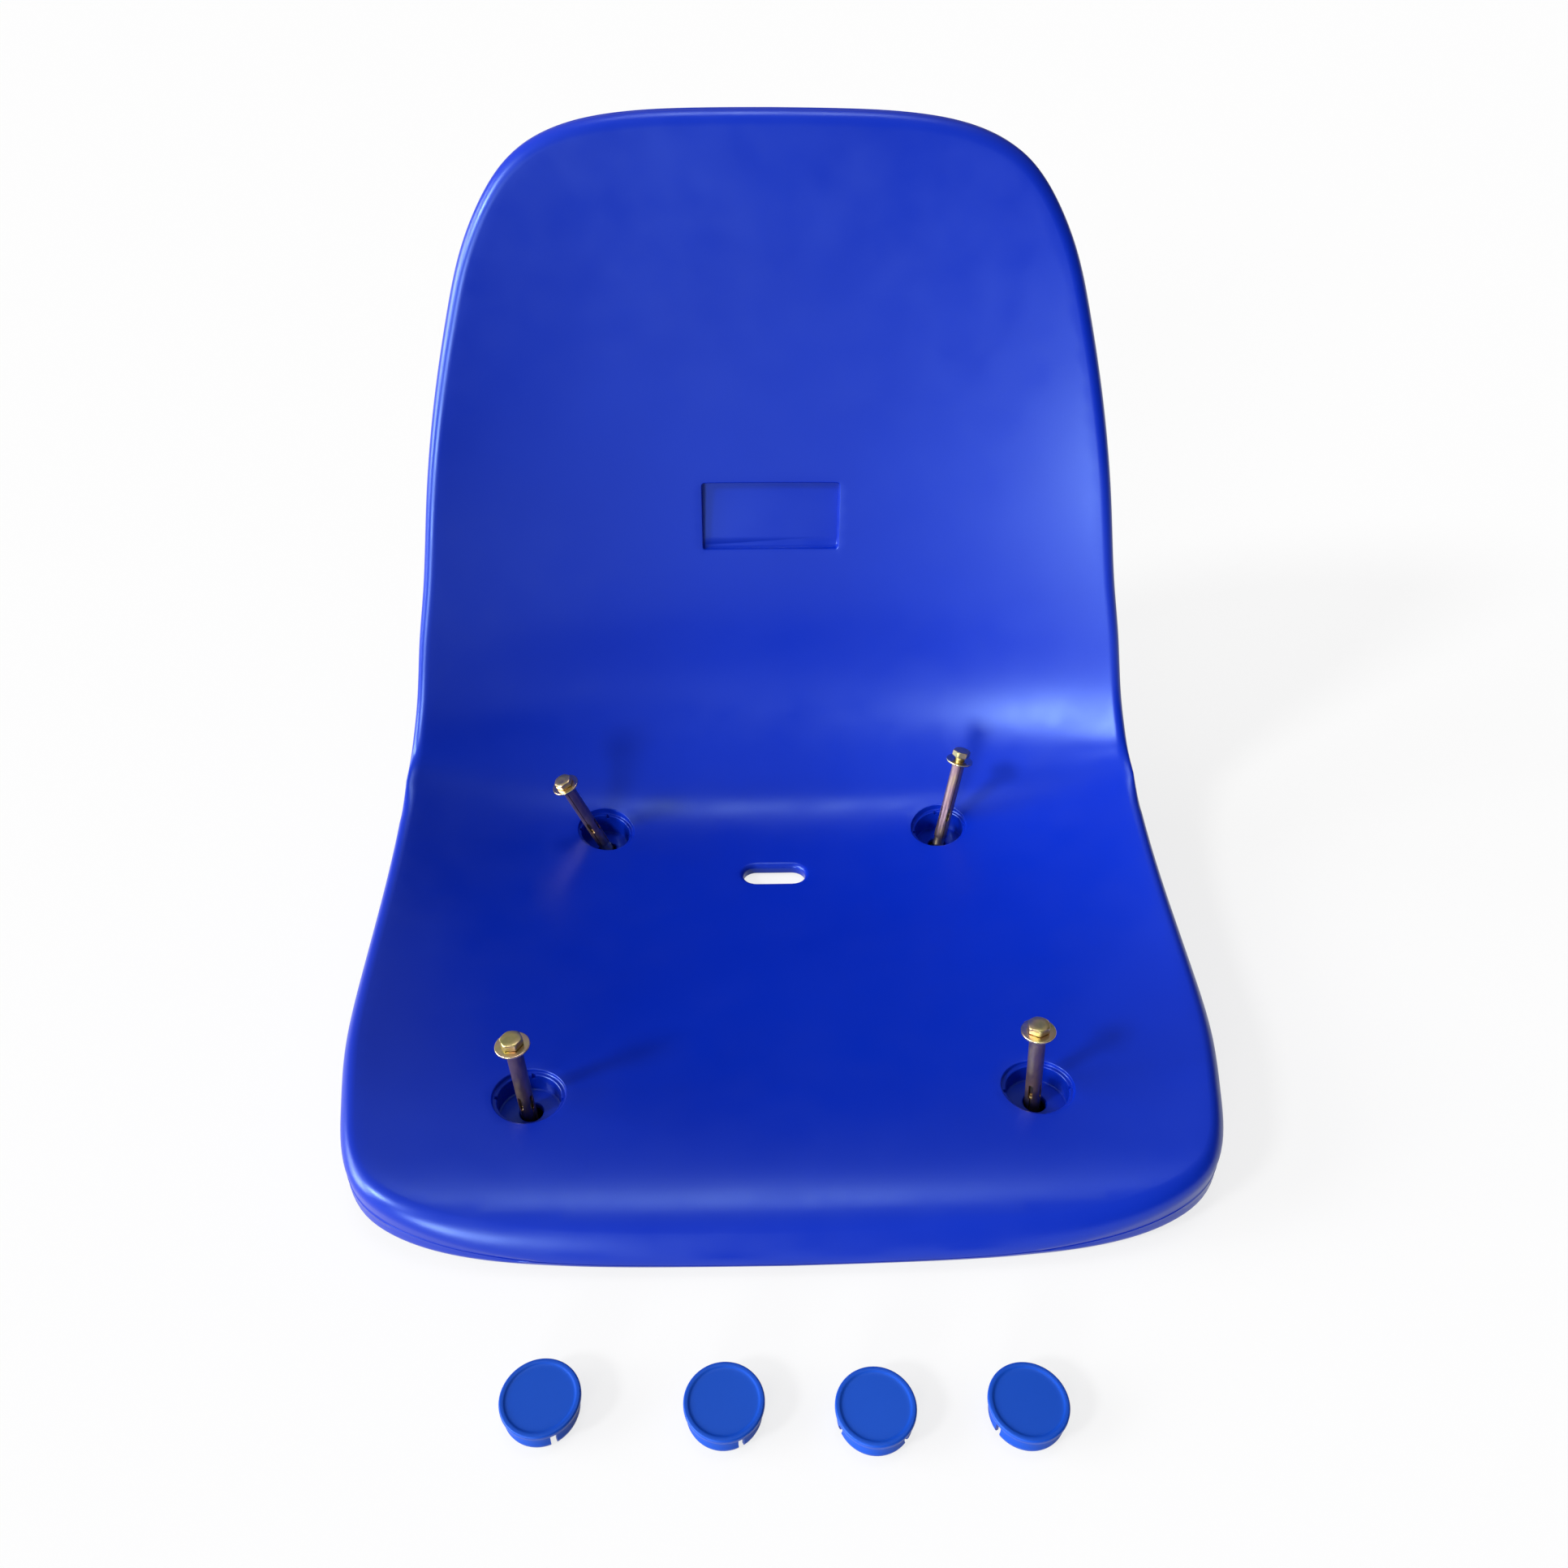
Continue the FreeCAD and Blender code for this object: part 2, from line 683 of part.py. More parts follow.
def bolt(name):
    """Hexagon bolt with a chamfered head and a bevelled tip."""
    body = new_body(name + "_bolt")
    turned(body, "shank", [
        ("0", "0"), ("Sizes.bolt_radius - 0.7", "0"), ("Sizes.bolt_radius", "0.7"),
        ("Sizes.bolt_radius", "Sizes.bolt_length"), ("0", "Sizes.bolt_length")])
    sketch = sketch_on(body, "head", "XY_Plane", "Sizes.bolt_length")
    half = "Sizes.head_across / 2"
    small = "Sizes.head_across / 2 / sqrt(3)"
    point = "Sizes.head_across / sqrt(3)"
    outline(sketch, [
        (half, f"-{small}"), (half, small), ("0", point),
        (f"-{half}", small), (f"-{half}", f"-{small}"), ("0", f"-{point}")])
    pad(body, "head", sketch, "Sizes.head_height")
    top = "Sizes.bolt_length + Sizes.head_height"
    turned(body, "head_chamfer", [
        ("Sizes.head_across * 0.46", top), ("Sizes.head_across * 0.6", top),
        ("Sizes.head_across * 0.6", f"{top} - Sizes.head_across * 0.08")], "PartDesign::Groove")
    fixing = FIXINGS[name]
    body.setExpression("Placement", anchor_placement(name, fixing["lift"], fixing["head"]))
    return body


def washer(name):
    """Plain stamped washer with softened edges."""
    body = new_body(name + "_washer")
    low = "Sizes.washer_base"
    high = "Sizes.washer_base + Sizes.washer_thickness"
    turned(body, "ring", [
        ("Sizes.washer_bore", low), ("Sizes.washer_radius - 0.3", low),
        ("Sizes.washer_radius", f"{low} + 0.3"), ("Sizes.washer_radius", f"{high} - 0.3"),
        ("Sizes.washer_radius - 0.3", high), ("Sizes.washer_bore", high)])
    body.setExpression("Placement", anchor_placement(name))
    return body


def sleeve(name):
    """Rolled sleeve with an open seam, four windows and four slits at its lower end."""
    body = new_body(name + "_sleeve")
    sketch = sketch_on(body, "tube", "XY_Plane", "Sizes.sleeve_base")
    circle(sketch, "Sizes.sleeve_radius")
    circle(sketch, "Sizes.sleeve_radius - Sizes.sleeve_wall")
    pad(body, "tube", sketch, "Sizes.sleeve_length")
    gap = "Sizes.seam_gap / 2"
    side_pocket(body, "seam", [
        (f"-{gap}", "Sizes.sleeve_base - 1"), (gap, "Sizes.sleeve_base - 1"),
        (gap, "Sizes.sleeve_top + 1"), (f"-{gap}", "Sizes.sleeve_top + 1")],
        "Sizes.sleeve_radius + 1")
    half = "Sizes.window_width / 2"
    low = "Sizes.sleeve_base + Sizes.window_base"
    high = f"{low} + Sizes.window_length"
    corner = "Sizes.window_width * 0.29"
    narrow = "Sizes.window_width * 0.21"
    window = side_pocket(body, "window", [
        (f"-{narrow}", low), (narrow, low), (half, f"{low} + {corner}"), (half, f"{high} - {corner}"),
        (narrow, high), (f"-{narrow}", high), (f"-{half}", f"{high} - {corner}"),
        (f"-{half}", f"{low} + {corner}")], "Sizes.sleeve_radius + 1")
    around(body, "windows", window, 4)
    slit = side_pocket(body, "slit", [
        (f"-{gap}", "Sizes.sleeve_base - 1"), (gap, "Sizes.sleeve_base - 1"),
        (gap, f"{low} + 1"), (f"-{gap}", f"{low} + 1")], "Sizes.sleeve_radius + 1")
    around(body, "slits", slit, 4)
    body.setExpression("Placement", anchor_placement(name))
    return body


def cone_nut(name):
    """Cone that the bolt draws into the sleeve to spread it."""
    body = new_body(name + "_cone_nut")
    turned(body, "cone", [
        ("Sizes.nut_bore", "0"), ("Sizes.nut_radius - 0.4", "0"), ("Sizes.nut_radius", "0.4"),
        ("Sizes.nut_radius", "Sizes.nut_base"), ("Sizes.nose_radius", "Sizes.cone_top"),
        ("Sizes.nose_radius", "Sizes.nut_length"), ("Sizes.nut_bore", "Sizes.nut_length")])
    body.setExpression("Placement", anchor_placement(name))
    return body


def cover_cap(name):
    """Push-in cap: dished head with a raised rim over a skirt of three sprung arms."""
    body = new_body(name)
    top = "Sizes.cap_height"
    under = "Sizes.cap_height - Sizes.cap_lip"
    dish = "Sizes.cap_radius - Sizes.cap_rim_width"
    bead = "Sizes.cap_skirt_radius + 0.35"
    turned(body, "body", [
        ("0", f"{top} - Sizes.cap_dish"), (f"{dish} - 0.8", f"{top} - Sizes.cap_dish"),
        (dish, top), ("Sizes.cap_radius - Sizes.cap_round", top),
        ("Sizes.cap_radius - Sizes.cap_round * 0.29", f"{top} - Sizes.cap_round * 0.29"),
        ("Sizes.cap_radius", f"{top} - Sizes.cap_round"), ("Sizes.cap_radius", under),
        ("Sizes.cap_skirt_radius", under), ("Sizes.cap_skirt_radius", "2.6"), (bead, "1.6"),
        ("Sizes.cap_skirt_radius", "0.4"), ("Sizes.cap_skirt_radius - 0.5", "0"),
        ("Sizes.cap_skirt_inner", "0"), ("Sizes.cap_skirt_inner", f"{under} - 0.6"),
        ("Sizes.cap_skirt_inner - 0.6", under), ("0", under)])
    half = "Sizes.cap_slot / 2"
    slot = side_pocket(body, "slot", [
        (f"-{half}", "-1"), (half, "-1"), (half, under), (f"-{half}", under)],
        "Sizes.cap_radius + 1")
    around(body, "slots", slot, 3)
    body.setExpression("Placement", (
        f"placement(vector(Sizes.{name}_across; Sizes.{name}_ahead - Sizes.cap_row; 0);"
        f" rotation(Sizes.{name}_turn - 90; 0; 0))"))
    return body


nodes = [seat_shell]
for name in FIXINGS:
    nodes += [bolt(name), washer(name), sleeve(name), cone_nut(name)]
for name in CAPS:
    nodes.append(cover_cap(name))
doc.recompute()

# Check every object, then write one file for each node

for item in doc.Objects:
    if "Invalid" in item.State or "Error" in item.State:
        raise RuntimeError(f"{item.Label} did not compute: {item.State}")
for node in nodes:
    shape = node.Shape
    if shape.isNull() or not shape.isValid() or len(shape.Solids) != 1:
        raise RuntimeError(f"{node.Label} is not one valid solid")
    shape.exportStep(f"parts/{node.Label}.step")
    box_size = shape.optimalBoundingBox(True, False)
    print(f"{node.Label}: {shape.Volume / 1000:.2f} cm3, {box_size}")
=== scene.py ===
"""Visual model of a loose stadium seat with its sleeve anchors and cover caps.

The seat shell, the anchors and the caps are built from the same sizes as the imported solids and
stand in their places. Sizes in the classes are millimetres and become metres in the meshes.
"""

from __future__ import annotations

import json
import logging
import math
from dataclasses import dataclass, field
from enum import Enum
from typing import Iterable, Sequence

import bmesh
import bpy
import numpy as np
from mathutils import Matrix, Vector
from mathutils.geometry import delaunay_2d_cdt

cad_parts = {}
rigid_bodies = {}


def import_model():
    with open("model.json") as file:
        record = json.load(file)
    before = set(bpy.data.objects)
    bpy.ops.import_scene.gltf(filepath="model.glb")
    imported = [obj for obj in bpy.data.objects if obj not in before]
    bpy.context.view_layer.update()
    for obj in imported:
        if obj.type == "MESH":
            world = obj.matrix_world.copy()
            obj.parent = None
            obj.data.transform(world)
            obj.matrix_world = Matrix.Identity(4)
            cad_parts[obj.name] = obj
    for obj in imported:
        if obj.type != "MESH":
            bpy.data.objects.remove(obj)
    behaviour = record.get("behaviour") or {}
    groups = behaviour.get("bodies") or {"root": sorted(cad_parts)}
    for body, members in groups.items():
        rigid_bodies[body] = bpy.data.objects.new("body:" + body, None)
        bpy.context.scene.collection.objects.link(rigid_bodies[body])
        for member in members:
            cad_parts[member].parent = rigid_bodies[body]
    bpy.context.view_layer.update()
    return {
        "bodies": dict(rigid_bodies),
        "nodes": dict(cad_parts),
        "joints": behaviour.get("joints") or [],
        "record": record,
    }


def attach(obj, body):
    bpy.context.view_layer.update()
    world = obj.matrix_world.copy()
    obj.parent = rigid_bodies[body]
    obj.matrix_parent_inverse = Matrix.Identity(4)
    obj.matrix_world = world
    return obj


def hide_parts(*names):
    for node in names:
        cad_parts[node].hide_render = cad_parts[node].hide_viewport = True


LOG = logging.getLogger("stadium_seat")
MM = 0.001
Point = tuple[float, float, float]


class Row(Enum):
    """The two rows of fixing pockets."""

    FRONT = "front"
    REAR = "rear"


class Plating(Enum):
    """How a steel piece of an anchor looks under its yellow plating."""

    HEAD = "head"
    WASHER = "washer"
    SLEEVE = "sleeve"
    NUT = "nut"


# Small helpers


def smooth_step(value: float) -> float:
    """Ease a share between 0 and 1."""
    share = min(max(value, 0.0), 1.0)
    return share * share * (3.0 - 2.0 * share)


def ring(count: int) -> list[float]:
    """Evenly spaced angles in radians, counter-clockwise from the X axis."""
    return [2 * math.pi * index / count for index in range(count)]


def turn_gap(one: float, other: float) -> float:
    """Angle between two directions, up to half a turn."""
    return abs((one - other + math.pi) % (2 * math.pi) - math.pi)


def circle(radius: float, angles: Iterable[float], height: float, x: float = 0.0, y: float = 0.0) -> list[Point]:
    """Points of a level circle.

    Args:
        radius: Its radius.
        angles: Angles of the points.
        height: Its height.
        x: Place of its middle across the seat.
        y: Place of its middle along the seat.

    Returns:
        One point for each angle.
    """
    return [(x + radius * math.cos(a), y + radius * math.sin(a), height) for a in angles]


def spline_values(places: Sequence[float], values: Sequence[float], wanted: np.ndarray) -> np.ndarray:
    """Natural cubic spline through values at increasing places.

    Args:
        places: Increasing places.
        values: Value at each place.
        wanted: Places to read.

    Returns:
        The spline's values there.
    """
    x = np.asarray(places, float)
    y = np.asarray(values, float)
    gap = np.diff(x)
    count = len(x)
    matrix = np.zeros((count, count))
    right = np.zeros(count)
    matrix[0, 0] = matrix[-1, -1] = 1.0
    for i in range(1, count - 1):
        matrix[i, i - 1] = gap[i - 1]
        matrix[i, i] = 2 * (gap[i - 1] + gap[i])
        matrix[i, i + 1] = gap[i]
        right[i] = 3 * ((y[i + 1] - y[i]) / gap[i] - (y[i] - y[i - 1]) / gap[i - 1])
    bend = np.linalg.solve(matrix, right)
    cell = np.clip(np.searchsorted(x, wanted) - 1, 0, count - 2)
    t = wanted - x[cell]
    h = gap[cell]
    slope = (y[cell + 1] - y[cell]) / h - h * (2 * bend[cell] + bend[cell + 1]) / 3
    cubic = (bend[cell + 1] - bend[cell]) / (3 * h)
    return y[cell] + slope * t + bend[cell] * t**2 + cubic * t**3


def inside_polygon(points: np.ndarray, polygon: np.ndarray) -> np.ndarray:
    """Which points lie inside a closed polygon.

    Args:
        points: Points as rows of two numbers.
        polygon: Corners as rows of two numbers.

    Returns:
        One true or false for each point.
    """
    inside = np.zeros(len(points), bool)
    x, y = points[:, 0], points[:, 1]
    for (x1, y1), (x2, y2) in zip(polygon, np.roll(polygon, -1, axis=0)):
        if y1 == y2:
            continue
        crosses = ((y1 > y) != (y2 > y)) & (x < (x2 - x1) * (y - y1) / (y2 - y1) + x1)
        inside ^= crosses
    return inside


def between_loops(points: np.ndarray, loops: Sequence[np.ndarray]) -> np.ndarray:
    """Which points lie inside the first loop and outside the other ones."""
    between = inside_polygon(points, loops[0])
    for hole in loops[1:]:
        between &= ~inside_polygon(points, hole)
    return between


def nearest(points: np.ndarray, corners: np.ndarray) -> np.ndarray:
    """Distance from each point to the nearest corner, worked out in parts to save memory."""
    distance = np.full(len(points), np.inf)
    for start in range(0, len(corners), 200):
        part = corners[start:start + 200]
        gap = np.hypot(points[:, None, 0] - part[None, :, 0], points[:, None, 1] - part[None, :, 1])
        distance = np.minimum(distance, gap.min(axis=1))
    return distance


def fill_net(
    loops: Sequence[np.ndarray], net: np.ndarray, tolerance: float,
) -> tuple[np.ndarray, np.ndarray, list[list[int]]]:
    """Triangles between an outline and its openings, through the points of a net.

    Args:
        loops: The outline, then each opening, as rows of two numbers.
        net: Points between them.
        tolerance: Distance below which two points count as one.

    Returns:
        All points, the triangles as rows of point numbers, and the point numbers of each loop.
    """
    starts = np.cumsum([0] + [len(loop) for loop in loops]).tolist()
    vertices = [Vector(p) for p in np.concatenate(loops)] + [Vector(p) for p in net]
    edges = [(start + i, start + (i + 1) % len(loop)) for start, loop in zip(starts, loops) for i in range(len(loop))]
    points, _, faces, origins, _, _ = delaunay_2d_cdt(vertices, edges, [], 0, tolerance)
    flat = np.array([(p.x, p.y) for p in points])
    triangles = np.array([list(f) for f in faces])
    triangles = triangles[between_loops(flat[triangles].mean(axis=1), loops)]
    place = {source: number for number, sources in enumerate(origins) for source in sources}
    rows = [[place[start + i] for i in range(len(loop))] for start, loop in zip(starts, loops)]
    return flat, triangles, rows


class MeshBuilder:
    """Collects points in millimetres and faces, then makes one mesh object from them."""

    def __init__(self, name: str) -> None:
        """Start an empty mesh with the name of its piece."""
        self.name = name
        self.points: list[Point] = []
        self.faces: list[tuple[int, ...]] = []

    def add(self, points: Iterable[Sequence[float]]) -> list[int]:
        """Add points and return their numbers."""
        first = len(self.points)
        self.points.extend((float(p[0]), float(p[1]), float(p[2])) for p in points)
        return list(range(first, len(self.points)))

    def places(self, row: Sequence[int]) -> np.ndarray:
        """Points of a row, one row of three numbers each."""
        return np.array([self.points[i] for i in row])

    def move(self, frame: Matrix) -> None:
        """Move all points so far into a frame."""
        self.points = [tuple(frame @ Vector(p)) for p in self.points]

    def bridge(self, upper: Sequence[int], lower: Sequence[int]) -> None:
        """Join two rings of the same length with four-sided faces.

        Args:
            upper: Numbers of the first ring.
            lower: Numbers of the second ring.
        """
        count = len(upper)
        for index in range(count):
            following = (index + 1) % count
            self.faces.append((upper[index], lower[index], lower[following], upper[following]))

    def stack(self, rows: Sequence[Sequence[int]]) -> None:
        """Join each ring with the next one."""
        for upper, lower in zip(rows, rows[1:]):
            self.bridge(upper, lower)

    def fan(self, row: Sequence[int], middle: Sequence[float]) -> None:
        """Close a ring with triangles to a middle point."""
        centre = self.add([middle])[0]
        for index, number in enumerate(row):
            self.faces.append((number, row[(index + 1) % len(row)], centre))

    def finish(self, smooth_angle: float = 35.0) -> bpy.types.Object:
        """Make the object from the points and faces.

        Args:
            smooth_angle: Angle in degrees below which faces blend.

        Returns:
            The new object, linked to the scene, at the origin.
        """
        mesh = bpy.data.meshes.new(self.name)
        mesh.from_pydata([tuple(c * MM for c in p) for p in self.points], [], self.faces)
        mesh.validate()
        return linked_piece(self.name, mesh, smooth_angle)


def linked_piece(name: str, mesh: bpy.types.Mesh, smooth_angle: float) -> bpy.types.Object:
    """Merge a mesh's doubles, turn its faces outwards, set its crisp edges and put it in the scene.

    Args:
        name: Name of the piece.
        mesh: Its mesh, in metres.
        smooth_angle: Angle in degrees below which faces blend.

    Returns:
        The new object, at the origin.
    """
    piece = bpy.data.objects.new(name, mesh)
    bpy.context.scene.collection.objects.link(piece)
    work = bmesh.new()
    work.from_mesh(mesh)
    bmesh.ops.remove_doubles(work, verts=work.verts, dist=1e-7)
    bmesh.ops.dissolve_degenerate(work, edges=work.edges, dist=1e-8)
    bmesh.ops.recalc_face_normals(work, faces=work.faces)
    work.to_mesh(mesh)
    work.free()
    mesh.shade_smooth()
    mesh.set_sharp_from_angle(angle=math.radians(smooth_angle))
    return piece


def round_corner(
    mesh: MeshBuilder, start: np.ndarray, corner: np.ndarray, end: np.ndarray, count: int, first: int,
) -> list[list[int]]:
    """Rows of points round a corner, close to a circle's arc.

    Args:
        mesh: Where the points go.
        start: Where the rounding begins, one row of three numbers for each section.
        corner: The sharp corner.
        end: Where the rounding ends.
        count: How many rows to make.
        first: 1 where the row at the start is already there, 0 where the one at the end is.

    Returns:
        Point numbers of each row.
    """
    rows = []
    for step in range(first, first + count):
        angle = step / count * math.pi / 2
        rows.append(mesh.add(
            corner + (start - corner) * (1 - math.sin(angle)) + (end - corner) * (1 - math.cos(angle))))
    return rows


# The moulded shell


@dataclass(frozen=True)
class Station:
    """One cross line of the moulded surface.

    Attributes:
        reach: Place along Y in the middle of the seat.
        level: Height in the middle.
        lean: Lean of the cross line in degrees, 0 flat and 90 upright.
        rise: How far the sides stand out towards the sitter.
        thick: Thickness in the middle.
        edge: Thickness at the sides.
    """

    reach: float
    level: float
    lean: float
    rise: float
    thick: float
    edge: float


@dataclass(frozen=True)
class Pocket:
    """One fixing pocket of the shell.

    Attributes:
        side: -1 on the left of the photograph, 1 on the right.
        row: Front or rear pair.
        spacing: Distance between the two pockets of the row.
        place: Place along Y.
        rim_level: Height of the middle of the rim.
        floor: Height of the floor that the anchor stands on.
        pitch: Slope of the rim along the seat in degrees.
        roll: Slope of the rim across the seat in degrees.
    """

    side: int
    row: Row
    spacing: float
    place: float
    rim_level: float
    floor: float
    pitch: float
    roll: float

    @property
    def x(self) -> float:
        """Place across the seat."""
        return self.side * self.spacing / 2

    def frame(self) -> Matrix:
        """Rim frame: its Z axis stands square to the surface."""
        turn = Matrix.Rotation(math.radians(-self.side * self.roll), 4, "Y")
        turn @= Matrix.Rotation(math.radians(self.pitch), 4, "X")
        return Matrix.Translation((self.x, self.place, self.rim_level)) @ turn


def pocket_list() -> list[Pocket]:
    """The four pockets, front pair and rear pair."""
    pockets = []
    for side in (-1, 1):
        pockets.append(Pocket(side, Row.FRONT, 252.0, -115.5, 28.8, 16.4, -3.0, 3.3))
        pockets.append(Pocket(side, Row.REAR, 218.0, 115.5, 17.6, 3.0, 7.6, 10.2))
    return pockets


# A point of a face is found by its reach before the lumbar station, and by its height from the bend station on.
BEND_STATION = 8
LUMBAR_STATION = 11
# Shares of a thin edge that its front and rear round may take.
FRONT_SHARE = 0.6
REAR_SHARE = 0.35
# Rows of the edge band with the parting line: share of the way from the front round to the rear one, and how far
# the row stands out.
EDGE_BAND = ((0.35, -0.3), (0.46, -0.3), (0.49, 0.0), (0.53, 0.0), (0.56, -0.3), (0.8, -0.3))
# A point well inside the outline, to tell outwards from inwards.
SEAT_MIDDLE = (0.0, 20.0, 200.0)
# Round of the ledge's edges in a pocket.
SMALL_ROUND = 0.35
# Rows of the plate recess below its soft edge: share of the draft and share of the depth.
PLATE_WALL = ((0.25, 0.5), (0.8, 0.88), (0.93, 0.98), (1.0, 1.0))


@dataclass
class SeatShell:
    """The one-piece blow-moulded seat with its pockets, drain slot and plate recess."""

    # the whole shell
    half_hip: float = 233.0
    front_reach: float = 197.0
    height: float = 420.5
    recline: float = 6.8
    lumbar_reach: float = 194.0
    lumbar_level: float = 130.0
    dish_power: float = 2.4
    dish_margin: float = 3.0
    front_round: float = 8.0
    rear_round: float = 4.5
    # the fixing pockets, their latch notches and the feet below them
    rim_radius: float = 17.9
    ledge_depth: float = 2.2
    bore_radius: float = 15.75
    rim_soften: float = 0.6
    latch_width: float = 1.6
    latch_depth: float = 1.1
    latch_height: float = 2.6
    foot_radius: float = 18.7
    foot_round: float = 1.5
    relief_radius: float = 13.0
    relief_top: float = 13.4
    hole_radius: float = 5.75
    # the drain slot
    slot_place: float = 80.0
    slot_length: float = 39.0
    slot_width: float = 17.0
    slot_round: float = 3.2
    slot_round_below: float = 1.0
    # the plate recess; its floor is deeper by the lean at the top, and the sill is the slope at its lower edge
    plate_width: float = 86.0
    plate_height: float = 42.0
    plate_corner: float = 2.0
    plate_round: float = 0.7
    plate_sink: float = 2.4
    plate_draft: float = 0.5
    plate_sill: float = 1.7
    plate_sill_height: float = 4.0
    plate_lean: float = 2.8
    plate_level: float = 198.0
    # distance between the points of the net
    grid: float = 5.0
    # share of the half width and distance back from the lip
    pan_outline: tuple[tuple[float, float], ...] = (
        (0.0, 0.0), (0.2575, 0.6), (0.485, 2.7), (0.645, 7.7), (0.765, 16.7), (0.853, 31.0),
        (0.897, 49.0), (0.927, 75.0), (0.957, 109.0), (0.9807, 164.0), (0.9914, 227.0), (1.0, 287.0),
    )
    # share of the half width and distance down from the top
    back_outline: tuple[tuple[float, float], ...] = (
        (1.0, 364.5), (0.9975, 357.5), (0.991, 347.5), (0.9815, 335.5), (0.9712, 320.5),
        (0.9622, 305.5), (0.9515, 288.5), (0.9259, 255.5), (0.8948, 205.5), (0.8519, 150.5),
        (0.796, 99.5), (0.755, 70.5), (0.703, 46.5), (0.615, 22.0), (0.515, 9.8), (0.37, 2.8),
        (0.185, 0.4), (0.0, 0.0),
    )
    stations: list[Station] = field(init=False)
    places: list[float] = field(init=False)
    fine: np.ndarray = field(init=False)
    table: dict[str, np.ndarray] = field(init=False)

    def __post_init__(self) -> None:
        """Work out the stations and the splines through them."""
        reach, back = self.front_reach, self.back_reach
        upright = 90.0 - self.recline
        self.stations = [
            Station(-reach - 2, 8.5, 0, 5, 5.3, 9.5), Station(-reach + 7, 20.5, 0, 5.5, 17.3, 20.5),
            Station(-reach + 26, 27.2, 0, 6.5, 24, 26), Station(-reach + 52, 28, 0, 8, 24.8, 24),
            Station(-115.5, 26, 0, 12, 22.8, 20), Station(-60.06, 20, 0, 17, 17.3, 18),
            Station(4.99, 12.6, 0, 26, 10.4, 18), Station(75.0, 8.2, 0, 38, 7, 18),
            Station(115.5, 10.2, 8, 44, 8, 18), Station(150, 22, 25, 46, 12, 18),
            Station(181, 62, 60, 46, 16, 18),
            Station(self.lumbar_reach, self.lumbar_level, upright, 42, 18, 18),
            Station(back(211), 211, upright, 37, 18, 18),
            Station(back(self.height - 110.5), self.height - 110.5, upright, 26, 18, 18),
            Station(back(self.height - 5.5), self.height - 5.5, upright, 14, 18, 18),
            Station(back(self.height + 19.5), self.height + 19.5, upright, 10, 18, 18),
        ]
        self.places = [0.0]
        for one, two in zip(self.stations, self.stations[1:]):
            self.places.append(self.places[-1] + math.hypot(two.reach - one.reach, two.level - one.level))
        self.fine = np.linspace(0.0, self.places[-1], 1400)
        self.table = {
            word: spline_values(self.places, [getattr(s, word) for s in self.stations], self.fine)
            for word in ("reach", "level", "lean", "rise", "thick", "edge")
        }

    def back_reach(self, level: float) -> float:
        """Reach of the straight back at a level."""
        return self.lumbar_reach + (level - self.lumbar_level) * math.tan(math.radians(self.recline))

    # the two moulded faces

    def read(self, word: str, s: np.ndarray) -> np.ndarray:
        """One station value along the profile."""
        return np.interp(s, self.fine, self.table[word])

    def skin(self, s: Sequence[float], x: Sequence[float], rear: bool = False) -> np.ndarray:
        """Points of the sitter's face or of the underside.

        Args:
            s: Places along the profile.
            x: Places across the seat.
            rear: Whether to give the underside instead.

        Returns:
            One row of three numbers for each place.
        """
        s = np.asarray(s, float)
        x = np.asarray(x, float)
        share = np.abs(x / (self.half_hip - self.dish_margin)) ** self.dish_power
        lean = np.radians(self.read("lean", s))
        out = self.read("rise", s) * share
        if rear:
            out = out - (self.read("thick", s) * (1 - share) + self.read("edge", s) * share)
        return np.stack([
            x, self.read("reach", s) - np.sin(lean) * out, self.read("level", s) + np.cos(lean) * out], axis=1)

    def locate(self, x: Sequence[float], value: Sequence[float], axis: int, rear: bool = False) -> np.ndarray:
        """Places along the profile where a face has given Y or Z values.

        Args:
            x: Places across the seat.
            value: Wanted Y (axis 1) or Z (axis 2).
            axis: Which of the two is given.
            rear: Whether the underside is meant.

        Returns:
            One place along the profile for each pair.
        """
        x = np.asarray(x, float)
        value = np.asarray(value, float)
        low = np.full(len(x), 0.0 if axis == 1 else self.places[BEND_STATION])
        high = np.full(len(x), self.places[LUMBAR_STATION if axis == 1 else -1])
        for _ in range(36):
            middle = (low + high) / 2
            below = self.skin(middle, x, rear)[:, axis] < value
            low = np.where(below, middle, low)
            high = np.where(below, high, middle)
        return (low + high) / 2

    # the outline of the seat

    def half_outline(self, inset: float) -> list[tuple[float, float, int]]:
        """Half of the outline from the middle of the lip to the middle of the top.

        Args:
            inset: How far it is drawn in, in millimetres.

        Returns:
            Triples of x, value and the axis (1 for Y, 2 for Z) that the value belongs to.
        """
        half = self.half_hip
        pan = [(share * half, back - self.front_reach) for share, back in self.pan_outline]
        back = [(share * half, self.height - down) for share, down in self.back_outline]
        triples: list[tuple[float, float, int]] = []
        for points, axis, count in ((pan, 1, 110), (back, 2, 150)):
            array = np.asarray(points)
            along = np.concatenate([[0.0], np.cumsum(np.hypot(*np.diff(array, axis=0).T))])
            wanted = np.linspace(0, along[-1], count)
            x = spline_values(along, array[:, 0], wanted)
            y = spline_values(along, array[:, 1], wanted)
            dx = np.gradient(x, wanted)
            dy = np.gradient(y, wanted)
            starts, ends = (dy, dx) if axis == 1 else (dx, dy)
            starts[0] = ends[-1] = 0.0
            length = np.hypot(dx, dy)
            x = x - dy / length * inset
            y = y + dx / length * inset
            x[0 if axis == 1 else -1] = 0.0
            triples += [(float(a), float(b), axis) for a, b in zip(x, y)]
        return triples

